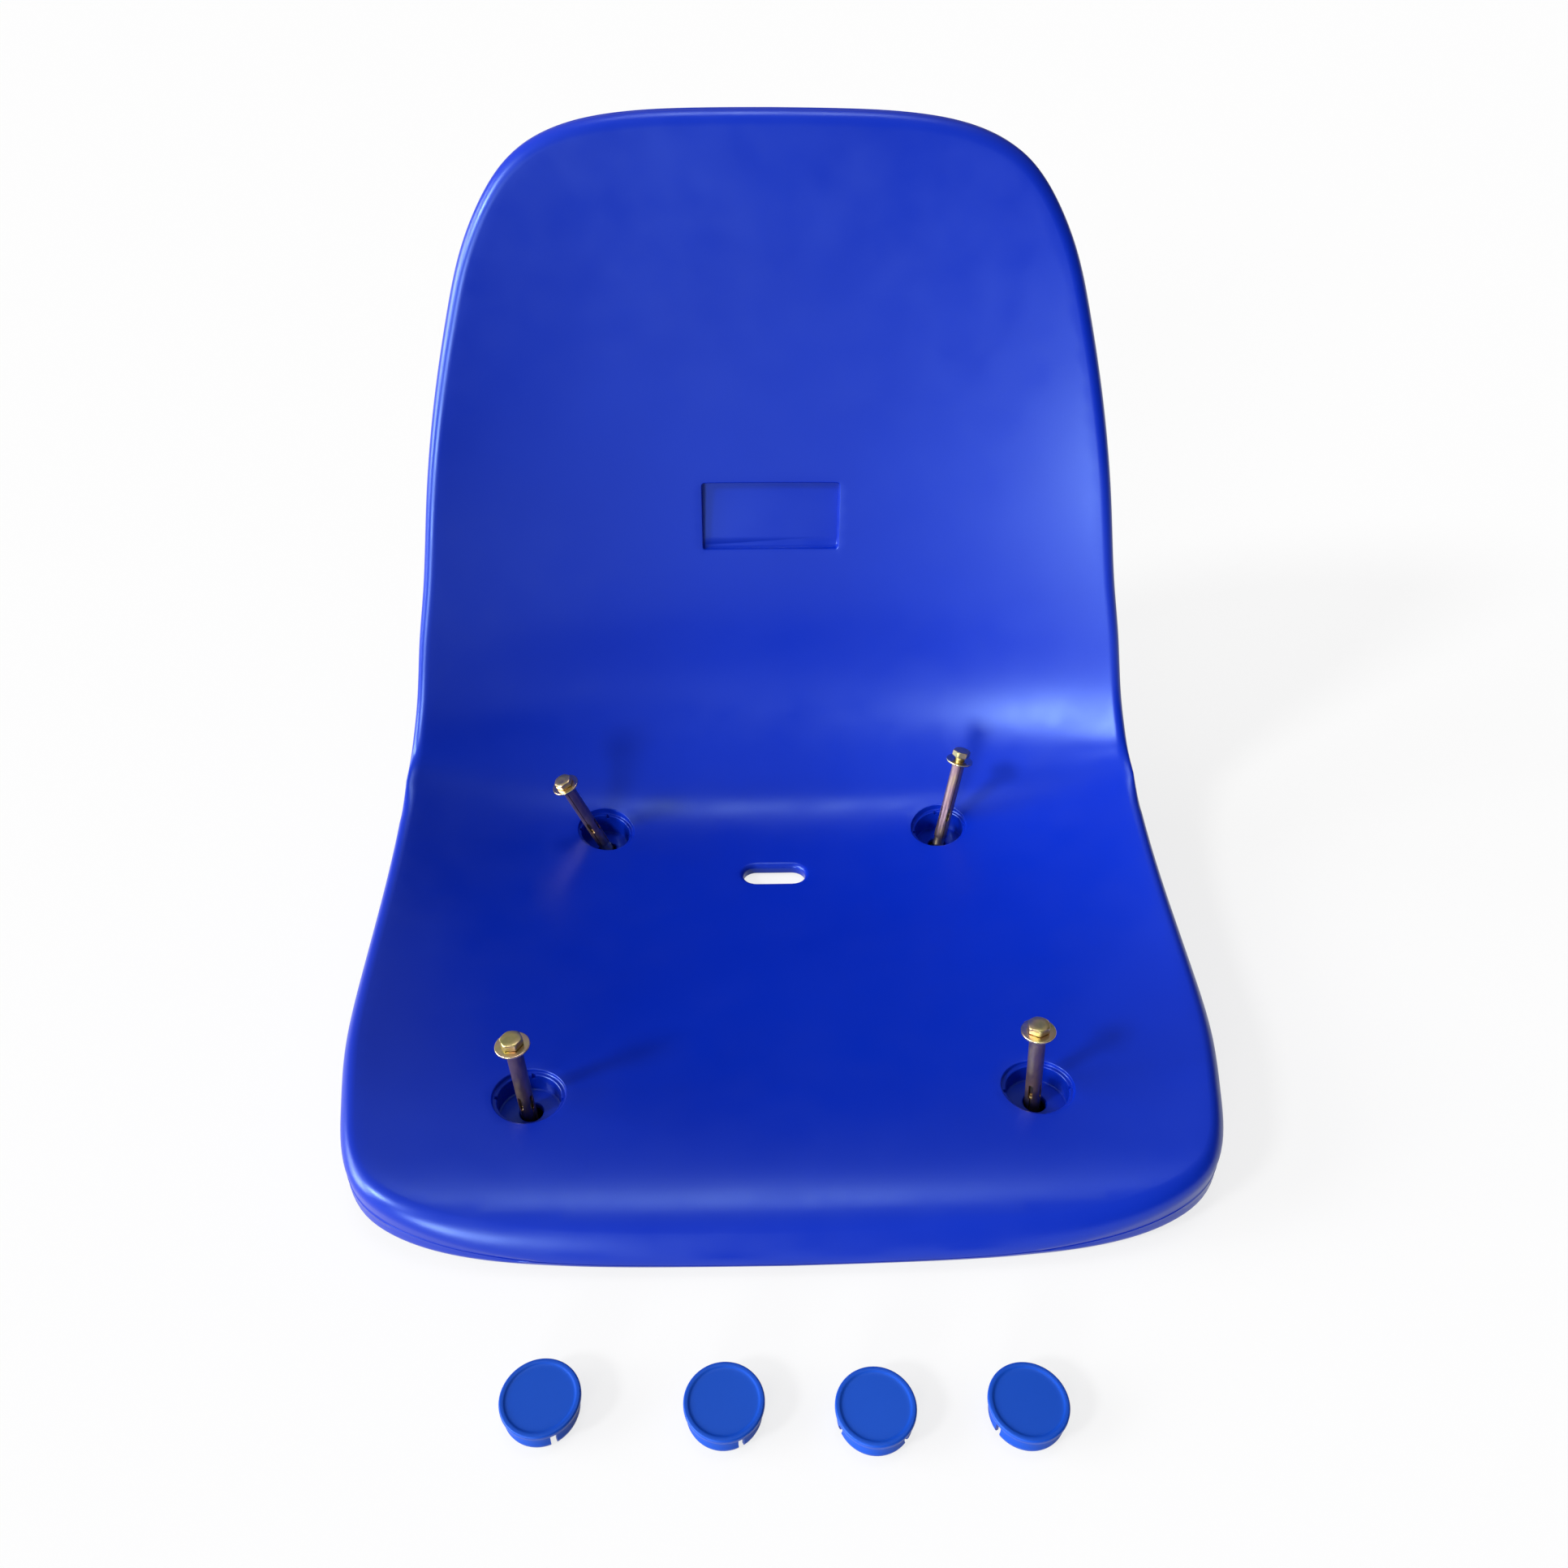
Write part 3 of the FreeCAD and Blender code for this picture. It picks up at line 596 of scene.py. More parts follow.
    def half_places(self, inset: float, rear: bool) -> tuple[np.ndarray, np.ndarray]:
        """The half outline as places along the profile and across the seat."""
        triples = self.half_outline(inset)
        pan = [t for t in triples if t[2] == 1]
        back = [t for t in triples if t[2] == 2]
        s_pan = self.locate([t[0] for t in pan], [t[1] for t in pan], 1, rear)
        s_back = self.locate([t[0] for t in back], [t[1] for t in back], 2, rear)
        gap = np.linspace(s_pan[-1], s_back[0], 16)[1:-1]
        x_gap = np.full(len(gap), self.half_hip - inset)
        x = np.concatenate([[t[0] for t in pan], x_gap, [t[0] for t in back]])
        return np.concatenate([s_pan, gap, s_back]), x

    def loop(self, inset: float, rear: bool = False) -> tuple[np.ndarray, np.ndarray]:
        """The whole outline as a closed loop of places."""
        s, x = self.half_places(inset, rear)
        return np.concatenate([s, s[-2:0:-1]]), np.concatenate([x, -x[-2:0:-1]])

    # openings in the two faces

    def rim_ring(self, pocket: Pocket, radius: float, turns: Sequence[float]) -> tuple[np.ndarray, np.ndarray]:
        """Places of a circle about the rim's axis, laid on the sitter's face."""
        frame = pocket.frame()
        height = np.zeros(len(turns))
        for _ in range(6):
            points = [frame @ Vector((radius * math.cos(a), radius * math.sin(a), h)) for a, h in zip(turns, height)]
            x = np.asarray([p.x for p in points])
            s = self.locate(x, [p.y for p in points], 1)
            level = self.skin(s, x)[:, 2]
            height = height + (level - np.asarray([p.z for p in points]))
        return s, x

    def upright_ring(self, points: Sequence[Sequence[float]], rear: bool) -> tuple[np.ndarray, np.ndarray]:
        """Places straight above or below given points of the ground plan."""
        x = np.asarray([p[0] for p in points])
        return self.locate(x, [p[1] for p in points], 1, rear), x

    def slot_points(self, margin: float) -> list[tuple[float, float]]:
        """Ground plan of the drain slot, grown by the margin."""
        radius = self.slot_width / 2 + margin
        half = (self.slot_length - self.slot_width) / 2
        points = []
        for side in (1, -1):
            for step in range(17):
                angle = math.pi * step / 16 - math.pi / 2 + (0 if side > 0 else math.pi)
                points.append((side * half + radius * math.cos(angle),
                               self.slot_place + radius * math.sin(angle)))
            for step in range(1, 5):
                share = step / 5
                points.append((side * half * (1 - 2 * share), self.slot_place + side * radius))
        return points

    def plate_points(self, margin: float, corner: float) -> list[tuple[float, float]]:
        """Outline of the plate recess in its own plane, with rounded corners."""
        points = []
        half_x = self.plate_width / 2 + margin - corner
        half_z = self.plate_height / 2 + margin - corner
        for quarter, (sx, sz) in enumerate(((1, 1), (-1, 1), (-1, -1), (1, -1))):
            for step in range(5):
                angle = math.pi / 2 * (quarter + step / 4)
                points.append((sx * half_x + corner * math.cos(angle), sz * half_z + corner * math.sin(angle)))
        dense = []
        for one, two in zip(points, points[1:] + points[:1]):
            length = math.hypot(two[0] - one[0], two[1] - one[1])
            pieces = max(1, round(length / 5.0))
            for step in range(pieces):
                share = step / pieces
                dense.append((one[0] + (two[0] - one[0]) * share, one[1] + (two[1] - one[1]) * share))
        return dense

    def plate_frame(self) -> Matrix:
        """Frame of the plate recess: X across, Z up the back, Y into the back."""
        turn = Matrix.Rotation(math.radians(-self.recline), 4, "X")
        return Matrix.Translation((0.0, self.back_reach(self.plate_level), self.plate_level)) @ turn

    # building

    def face(
        self, mesh: MeshBuilder, outer: tuple[np.ndarray, np.ndarray],
        holes: Sequence[tuple[np.ndarray, np.ndarray]], rear: bool,
    ) -> list[list[int]]:
        """Fill one moulded face between its outline and its openings with a fine even net.

        Args:
            mesh: Where the points and faces go.
            outer: Places of the outline.
            holes: Places of each opening.
            rear: Whether this is the underside.

        Returns:
            Point numbers of the outline and of each opening.
        """
        loops = [np.stack(loop, axis=1) for loop in (outer, *holes)]
        s_range = np.arange(loops[0][:, 0].min(), loops[0][:, 0].max(), self.grid)
        x_range = np.arange(-self.half_hip, self.half_hip + self.grid, self.grid)
        net = np.array([(s, x + (self.grid / 2 if row % 2 else 0.0))
                        for row, s in enumerate(s_range) for x in x_range])
        net = net[between_loops(net, loops)]
        net = net[nearest(net, np.concatenate(loops)) > self.grid * 0.55]
        flat, triangles, rows = fill_net(loops, net, 1e-6)
        numbers = mesh.add(self.skin(flat[:, 0], flat[:, 1], rear))
        for triangle in triangles:
            mesh.faces.append(tuple(numbers[i] for i in triangle))
        return [[numbers[i] for i in row] for row in rows]

    def edge_rows(self, mesh: MeshBuilder, front_row: Sequence[int], rear_row: Sequence[int]) -> None:
        """Rounded edge band between the two faces, with the parting line of the mould."""
        corner_front = self.skin(*self.loop(0.0))
        corner_rear = self.skin(*self.loop(0.0, True), True)
        wall = corner_rear - corner_front
        length = np.linalg.norm(wall, axis=1)[:, None]
        wall = wall / length
        upper = corner_front + wall * np.minimum(self.front_round, length * FRONT_SHARE)
        lower = corner_rear - wall * np.minimum(self.rear_round, length * REAR_SHARE)
        outward = np.cross(wall, np.roll(corner_front, -1, axis=0) - np.roll(corner_front, 1, axis=0))
        outward /= np.linalg.norm(outward, axis=1)[:, None]
        sense = np.sign(np.sum(outward * (corner_front - np.array(SEAT_MIDDLE)), axis=1))[:, None]
        rows = [list(front_row)] + round_corner(mesh, mesh.places(front_row), corner_front, upper, 9, 1)
        for share, lift in EDGE_BAND:
            rows.append(mesh.add(upper + (lower - upper) * share + outward * lift * sense))
        rows += round_corner(mesh, lower, corner_rear, mesh.places(rear_row), 6, 0)
        rows.append(list(rear_row))
        mesh.stack(rows)

    def pocket_turns(self) -> list[float]:
        """Angles round a pocket, with close pairs at the sides of the four latch notches."""
        reach = self.latch_width / 2 / self.bore_radius
        turns = [a for a in ring(64) if all(turn_gap(a, centre) > reach * 2.2 for centre in ring(4))]
        for centre in ring(4):
            turns += [centre + reach * share for share in (-1.25, -1.0, 0.0, 1.0, 1.25)]
        return sorted(turn % (2 * math.pi) for turn in turns)

    def pocket_walls(
        self, mesh: MeshBuilder, pocket: Pocket, turns: Sequence[float], front_row: Sequence[int],
        rear_row: Sequence[int],
    ) -> None:
        """Lip, recess, ledge, bore, floor, hole and foot of one pocket.

        Args:
            mesh: Where the points and faces go.
            pocket: Which pocket.
            turns: Angles of the rings.
            front_row: The opening in the sitter's face.
            rear_row: The opening in the underside that the foot grows from.
        """
        frame = pocket.frame()
        edge = self.skin(*self.rim_ring(pocket, self.rim_radius, turns))
        below = edge + np.array(frame.to_3x3() @ Vector((0, 0, -1))) * self.rim_soften
        rows = [list(front_row)] + round_corner(mesh, mesh.places(front_row), edge, below, 5, 1)

        def tilted(radius: float | Sequence[float], height: float) -> list[Vector]:
            """Ring about the rim's axis at a height in the rim frame."""
            radii = radius if isinstance(radius, (list, tuple)) else [radius] * len(turns)
            return [frame @ Vector((r * math.cos(a), r * math.sin(a), height)) for r, a in zip(radii, turns)]

        ledge = -self.ledge_depth
        latch = self.latch_width / 2 / self.bore_radius
        notched = [
            self.bore_radius + (self.latch_depth if min(turn_gap(a, c) for c in ring(4)) < latch * 1.1 else 0.0)
            for a in turns]
        for radius, height in (
            (self.rim_radius, ledge + SMALL_ROUND), (self.rim_radius - SMALL_ROUND, ledge),
            ([r + SMALL_ROUND for r in notched], ledge), (notched, ledge - SMALL_ROUND),
            (notched, ledge - self.latch_height), (self.bore_radius, ledge - self.latch_height - 0.05),
        ):
            rows.append(mesh.add(tilted(radius, height)))

        def bored(radius: float, level: float) -> list[Vector]:
            """Ring where the bore meets a level plane."""
            axis = frame.to_3x3() @ Vector((0, 0, 1))
            points = []
            for angle in turns:
                point = frame @ Vector((radius * math.cos(angle), radius * math.sin(angle), 0))
                points.append(point - axis * ((point.z - level) / axis.z))
            return points

        floor = pocket.floor
        for inset, rise in ((0.0, 1.0), (0.3, 0.3), (1.0, 0.0), (1.3, 0.0)):
            rows.append(mesh.add(bored(self.bore_radius - inset, floor + rise)))
        hole, relief, top = self.hole_radius, self.relief_radius, self.relief_top
        levels = [(hole + 0.8, floor), (hole + 0.5, floor), (hole, floor - 0.5)]
        if pocket.row is Row.FRONT:
            levels += [(hole, top), (relief - 0.6, top), (relief, top - 0.6), (relief, 0.4), (relief + 0.4, 0.0)]
        else:
            levels += [(hole, 0.4), (hole + 0.4, 0.0)]
        levels += [(self.foot_radius - 0.8, 0.0), (self.foot_radius - 0.2, 0.25), (self.foot_radius, 0.9)]
        for radius, level in levels:
            rows.append(mesh.add(circle(radius, turns, level, pocket.x, pocket.place)))
        foot = circle(self.foot_radius, turns, 0.0, pocket.x, pocket.place)
        corner = self.skin(*self.upright_ring(foot, True), True)
        low = corner - np.array([0, 0, self.foot_round])
        rows += round_corner(mesh, low, corner, mesh.places(rear_row), 5, 0)
        rows.append(list(rear_row))
        mesh.stack(rows)

    def slot_walls(self, mesh: MeshBuilder, front_row: Sequence[int], rear_row: Sequence[int]) -> None:
        """Rounded lip and wall of the drain slot."""
        points = self.slot_points(0.0)
        edge = self.skin(*self.upright_ring(points, False))
        bottom = self.skin(*self.upright_ring(points, True), True)
        below = edge - np.array([0, 0, self.slot_round])
        above = bottom + np.array([0, 0, self.slot_round_below])
        rows = [list(front_row)] + round_corner(mesh, mesh.places(front_row), edge, below, 7, 1)
        rows += round_corner(mesh, above, bottom, mesh.places(rear_row), 4, 0)
        rows.append(list(rear_row))
        mesh.stack(rows)

    def plate_walls(self, mesh: MeshBuilder, front_row: Sequence[int]) -> None:
        """Soft edge, wall and flat floor of the number plate recess."""
        frame = self.plate_frame()
        sharp = self.plate_points(0.0, self.plate_corner)
        edge = self.skin(*self.plate_places(0.0, self.plate_corner))
        within = edge + np.array(frame.to_3x3() @ Vector((0, 1, 0))) * self.plate_round
        rows = [list(front_row)] + round_corner(mesh, mesh.places(front_row), edge, within, 4, 1)
        low = -self.plate_height / 2
        for share, depth in PLATE_WALL:
            points = []
            for x, z in sharp:
                sill = max(0.0, (low + self.plate_sill_height - z) / self.plate_sill_height)
                draft = share * (self.plate_draft + (self.plate_sill - self.plate_draft) * sill)
                sink = self.plate_sink + self.plate_lean * (z - low) / self.plate_height
                points.append(frame @ Vector((
                    x - math.copysign(share * self.plate_draft, x) * min(1.0, abs(x) / 20.0), depth * sink,
                    z + draft if z < 0 else z - share * self.plate_draft)))
            rows.append(mesh.add(points))
        mesh.stack(rows)
        mesh.faces.append(tuple(rows[-1]))

    def plate_places(self, margin: float, corner: float) -> tuple[np.ndarray, np.ndarray]:
        """Places of the plate outline on the sitter's face."""
        frame = self.plate_frame()
        points = [frame @ Vector((x, 0, z)) for x, z in self.plate_points(margin, corner)]
        x = np.asarray([p.x for p in points])
        return self.locate(x, [p.z for p in points], 2), x

    def build(self) -> bpy.types.Object:
        """Make the whole shell as one closed mesh.

        Returns:
            The shell's object.
        """
        mesh = MeshBuilder("moulded_shell")
        turns = self.pocket_turns()
        pockets = pocket_list()
        front_holes = [self.rim_ring(p, self.rim_radius + self.rim_soften, turns) for p in pockets]
        front_holes.append(self.upright_ring(self.slot_points(self.slot_round), False))
        front_holes.append(self.plate_places(self.plate_round, self.plate_corner + self.plate_round))
        front = self.face(mesh, self.loop(self.front_round), front_holes, False)
        foot = self.foot_radius + self.foot_round
        rear_holes = [self.upright_ring(circle(foot, turns, 0.0, p.x, p.place), True) for p in pockets]
        rear_holes.append(self.upright_ring(self.slot_points(self.slot_round_below), True))
        rear = self.face(mesh, self.loop(self.rear_round, True), rear_holes, True)
        self.edge_rows(mesh, front[0], rear[0])
        for pocket, front_row, rear_row in zip(pockets, front[1:5], rear[1:5]):
            self.pocket_walls(mesh, pocket, turns, front_row, rear_row)
        self.slot_walls(mesh, front[5], rear[5])
        self.plate_walls(mesh, front[6])
        return mesh.finish(40.0)


# Anchors


# A leaning anchor stands on the edge of its tip.
TIP_RADIUS = 3.9


@dataclass(frozen=True)
class AnchorPlace:
    """Where one anchor stands and how it leans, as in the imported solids.

    Attributes:
        name: Which one it is.
        x: Place of its hole across the seat.
        y: Place of its hole along the seat.
        lean: Angle from upright in degrees.
        heading: Direction that it leans towards, in degrees from the X axis.
        slip: How far the tip lies from the middle of its hole.
        spin: Turn about its own axis in degrees.
        lift: How far the bolt stands out of its seat.
        head: Further turn of the bolt in degrees.
    """

    name: str
    x: float
    y: float
    lean: float
    heading: float
    slip: float
    spin: float
    lift: float
    head: float = 0.0

    def frame(self, lift: float = 0.0, head: float = 0.0) -> Matrix:
        """Frame at the tip, Z along the anchor, lifted and turned further for the bolt."""
        turn = math.radians(self.heading)
        tip = (self.x + self.slip * math.cos(turn), self.y + self.slip * math.sin(turn),
               TIP_RADIUS * math.sin(math.radians(self.lean)))
        matrix = Matrix.Translation(tip) @ Matrix.Rotation(turn, 4, "Z")
        matrix @= Matrix.Rotation(math.radians(self.lean), 4, "Y")
        matrix @= Matrix.Rotation(math.radians(self.spin - self.heading + head), 4, "Z")
        return matrix @ Matrix.Translation((0, 0, lift))


ANCHORS = (
    AnchorPlace("front_left", -126.0, -115.5, 3.0, 182.0, 0.6, -32.0, 0.0),
    AnchorPlace("front_right", 126.0, -115.5, 4.0, 138.0, 0.3, 57.0, 0.0),
    AnchorPlace("rear_right", 109.0, 115.5, 11.6, 37.6, 1.05, 190.0, 2.5, 15.0),
    AnchorPlace("rear_left", -109.0, 115.5, 21.7, 206.3, 0.0, 175.0, 0.0),
)


# Shares of half the head's width: how far the rounded corners reach, the face below the head, the circles that
# cut the chamfer (each with its depth below the top), and the ring that keeps the top flat.
HEX_CORNER = 1.135
HEAD_FACE = 0.95
HEAD_CHAMFER = ((0.6, 1.145), (0.42, 1.09), (0.25, 1.04), (0.1, 0.99), (0.0, 0.945))
HEAD_FLAT = 0.5
# Radius that closes a turned piece at its axis.
NEAR_AXIS = 0.001


@dataclass
class SleeveAnchor:
    """One M6 sleeve anchor: bolt, washer, slit sleeve and cone nut."""

    place: AnchorPlace
    bolt_length: float = 65.0
    bolt_radius: float = 2.95
    thread_depth: float = 0.34
    thread_pitch: float = 1.0
    thread_length: float = 24.0
    head_across: float = 10.0
    head_height: float = 4.0
    washer_radius: float = 8.5
    washer_bore: float = 3.25
    washer_thickness: float = 1.2
    sleeve_radius: float = 4.0
    sleeve_wall: float = 0.6
    sleeve_length: float = 56.0
    seam_gap: float = 0.5
    window_width: float = 2.4
    window_length: float = 9.5
    window_base: float = 13.5
    dimple_gap: float = 5.0
    nut_radius: float = 3.9
    nut_base: float = 2.5
    nut_length: float = 9.0
    nose_entry: float = 1.5
    cone_gap: float = 0.4

    @property
    def sleeve_base(self) -> float:
        """Height of the sleeve's lower end above the tip."""
        return self.nut_length - self.nose_entry

    def turned(self, name: str, profile: Sequence[tuple[float, float]]) -> MeshBuilder:
        """Piece about the anchor's axis, turned from a closed profile of radius and height.

        Args:
            name: Name of the piece.
            profile: Corners of the profile in order.

        Returns:
            The mesh, already in place.
        """
        mesh = MeshBuilder(name)
        rows = [mesh.add(circle(radius, ring(72), height)) for radius, height in profile]
        mesh.stack(rows + [rows[0]])
        mesh.move(self.place.frame())
        return mesh

    def bolt(self) -> bpy.types.Object:
        """Bolt with a chamfered hexagon head, a washer face and a plain shank."""
        mesh = MeshBuilder(f"{self.place.name}_hex_bolt")
        angles = ring(96)
        half = self.head_across / 2
        tip = self.bolt_radius - self.thread_depth
        base = self.bolt_length
        top = base + self.head_height
        shank = (
            (NEAR_AXIS, 0.0), (tip - 0.5, 0.0), (tip, 0.5), (tip, self.thread_length),
            (self.bolt_radius, self.thread_length + 1.0), (self.bolt_radius, base - 0.3),
            (self.bolt_radius + 0.3, base), (half * HEAD_FACE, base), (half * HEAD_FACE, base + 0.15))
        rows = [mesh.add(circle(radius, angles, height)) for radius, height in shank]

        def hexagon(grow: float, height: float, limit: float = math.inf) -> list[Point]:
            """Hexagon ring with slightly rounded corners, cut back to a circle by the limit."""
            points = []
            for angle in angles:
                inner = (angle + math.pi / 6) % (math.pi / 3) - math.pi / 6
                radius = min((half + grow) / math.cos(inner), (half + grow) * HEX_CORNER, limit)
                points.append((radius * math.cos(angle), radius * math.sin(angle), height))
            return points

        rows.append(mesh.add(hexagon(-0.25, base + 0.15)))
        rows.append(mesh.add(hexagon(0.0, base + 0.45)))
        rows += [mesh.add(hexagon(0.0, top - down, half * share)) for down, share in HEAD_CHAMFER]
        rows += [mesh.add(circle(radius, angles, top)) for radius in (half * HEAD_FLAT, NEAR_AXIS)]
        mesh.stack(rows)
        mesh.move(self.place.frame(self.place.lift, self.place.head))
        return mesh.finish(30.0)

    def thread(self, trees: NodeTrees, material: bpy.types.Material) -> bpy.types.Object:
        """Rolled thread on the lower shank, wound by a node tree."""
        return trees.thread(
            f"{self.place.name}_bolt_thread", self.place.frame(self.place.lift, self.place.head), self.bolt_radius,
            self.thread_depth, self.thread_pitch, self.thread_length, material)

    def washer(self) -> bpy.types.Object:
        """Stamped washer: rolled upper edge, small burr below."""
        low = self.sleeve_base + self.sleeve_length + 0.05
        high = low + self.washer_thickness
        profile = [(self.washer_bore, low + 0.1), (self.washer_bore + 0.1, low)]
        profile += [(self.washer_radius - 0.15, low), (self.washer_radius, low + 0.15)]
        profile += [(self.washer_radius - 0.45 + 0.45 * math.cos(t), high - 0.45 + 0.45 * math.sin(t))
                    for t in np.linspace(0, math.pi / 2, 6)]
        profile += [(self.washer_bore + 0.25, high), (self.washer_bore, high - 0.25)]
        return self.turned(f"{self.place.name}_flat_washer", profile).finish(38.0)

    def cone_nut(self) -> bpy.types.Object:
        """Cone nut with its nose in the sleeve, bore and chamfers."""
        bore = self.bolt_radius + 0.08
        nose = self.sleeve_radius - self.sleeve_wall - 0.05
        cone_top = self.sleeve_base - self.cone_gap
        profile = [(bore + 0.35, 0.0), (self.nut_radius - 0.4, 0.0), (self.nut_radius - 0.12, 0.12),
                   (self.nut_radius, 0.4), (self.nut_radius, self.nut_base - 0.15),
                   (self.nut_radius - 0.08, self.nut_base), (nose + 0.04, cone_top - 0.1), (nose, cone_top + 0.1),
                   (nose, self.nut_length - 0.12), (nose - 0.1, self.nut_length), (bore, self.nut_length),
                   (bore, 0.35)]
        return self.turned(f"{self.place.name}_spreader_cone", profile).finish(32.0)

    def window_edge(self) -> list[tuple[float, float]]:
        """Right half of one slit with the window above it, as offsets from its middle and heights."""
        half = self.window_width / 2
        low = self.sleeve_base + self.window_base
        high = low + self.window_length
        gap = self.seam_gap / 2
        flare = math.acos(gap / half)
        points = [(gap, float(z)) for z in np.linspace(self.sleeve_base, low - 0.3, 10)]
        points += [(half * math.cos(a), low + half + half * math.sin(a)) for a in np.linspace(-flare, 0, 7)]
        points += [(half, float(z)) for z in np.linspace(low + half, high - half, 8)[1:-1]]
        points += [(half * math.cos(a), high - half + half * math.sin(a)) for a in np.linspace(0, flare, 7)]
        return points

    def sleeve_outline(self) -> list[tuple[float, float]]:
        """Outline of the unrolled sleeve: seam, three slits with windows, lower and upper ends."""
        turn = 2 * math.pi * self.sleeve_radius
        gap = self.seam_gap / 2
        top = self.sleeve_base + self.sleeve_length
        window_top = self.sleeve_base + self.window_base + self.window_length
        edge = self.window_edge()
        seam = edge + [(gap, float(z)) for z in np.linspace(window_top + 0.3, top, 24)]
        outline = list(seam)
        outline += [(float(x), top) for x in np.linspace(gap, turn - gap, 42)[1:-1]]
        outline += [(turn - x, z) for x, z in reversed(seam)]
        previous = turn
        for index in (3, 2, 1, 0):
            middle = turn * index / 4
            between = np.linspace(previous - gap, middle + gap, 9)[1:-1]
            outline += [(float(x), self.sleeve_base) for x in between]
            if index:
                outline += [(middle + x, z) for x, z in edge]
                outline.append((middle, window_top))
                outline += [(middle - x, z) for x, z in reversed(edge)]
            previous = middle
        return outline

    def sleeve(self) -> bpy.types.Object:
        """Rolled sleeve with its seam, windows, slits and pressed dimples."""
        loop = np.array(self.sleeve_outline())
        net = np.array([(x, z) for z in np.arange(loop[:, 1].min() + 0.9, loop[:, 1].max() - 0.5, 1.15)
                        for x in np.arange(0.9, 2 * math.pi * self.sleeve_radius - 0.6, 0.85)])
        net = net[inside_polygon(net, loop)]
        flat, triangles, (rim,) = fill_net([loop], net[nearest(net, loop) > 0.4], 1e-7)
        mesh = MeshBuilder(f"{self.place.name}_split_sleeve")
        rows = []
        for inner in (False, True):
            rolled = []
            for x, z in flat:
                angle = x / self.sleeve_radius + math.pi / 2
                radius = self.sleeve_radius - (self.sleeve_wall if inner else 0.0) - self.dimple(x, z)
                rolled.append((radius * math.cos(angle), radius * math.sin(angle), z))
            rows.append(mesh.add(rolled))
        for triangle in triangles:
            mesh.faces.append(tuple(rows[0][i] for i in triangle))
            mesh.faces.append(tuple(rows[1][i] for i in reversed(triangle)))
        mesh.bridge([rows[0][i] for i in rim], [rows[1][i] for i in rim])
        mesh.move(self.place.frame())
        return mesh.finish(40.0)

    def dimple(self, x: float, z: float) -> float:
        """How deep the sleeve is pressed in at a point of the unrolled sheet."""
        quarter = 2 * math.pi * self.sleeve_radius / 4
        middle = self.sleeve_base + self.window_base + self.window_length + self.dimple_gap
        across = (x + quarter / 2) % quarter - quarter / 2
        up = z - middle - across * across * 0.25
        share = 1.0 - math.hypot(across / 1.5, up / 0.7)
        return 0.22 * smooth_step(share * 1.6)


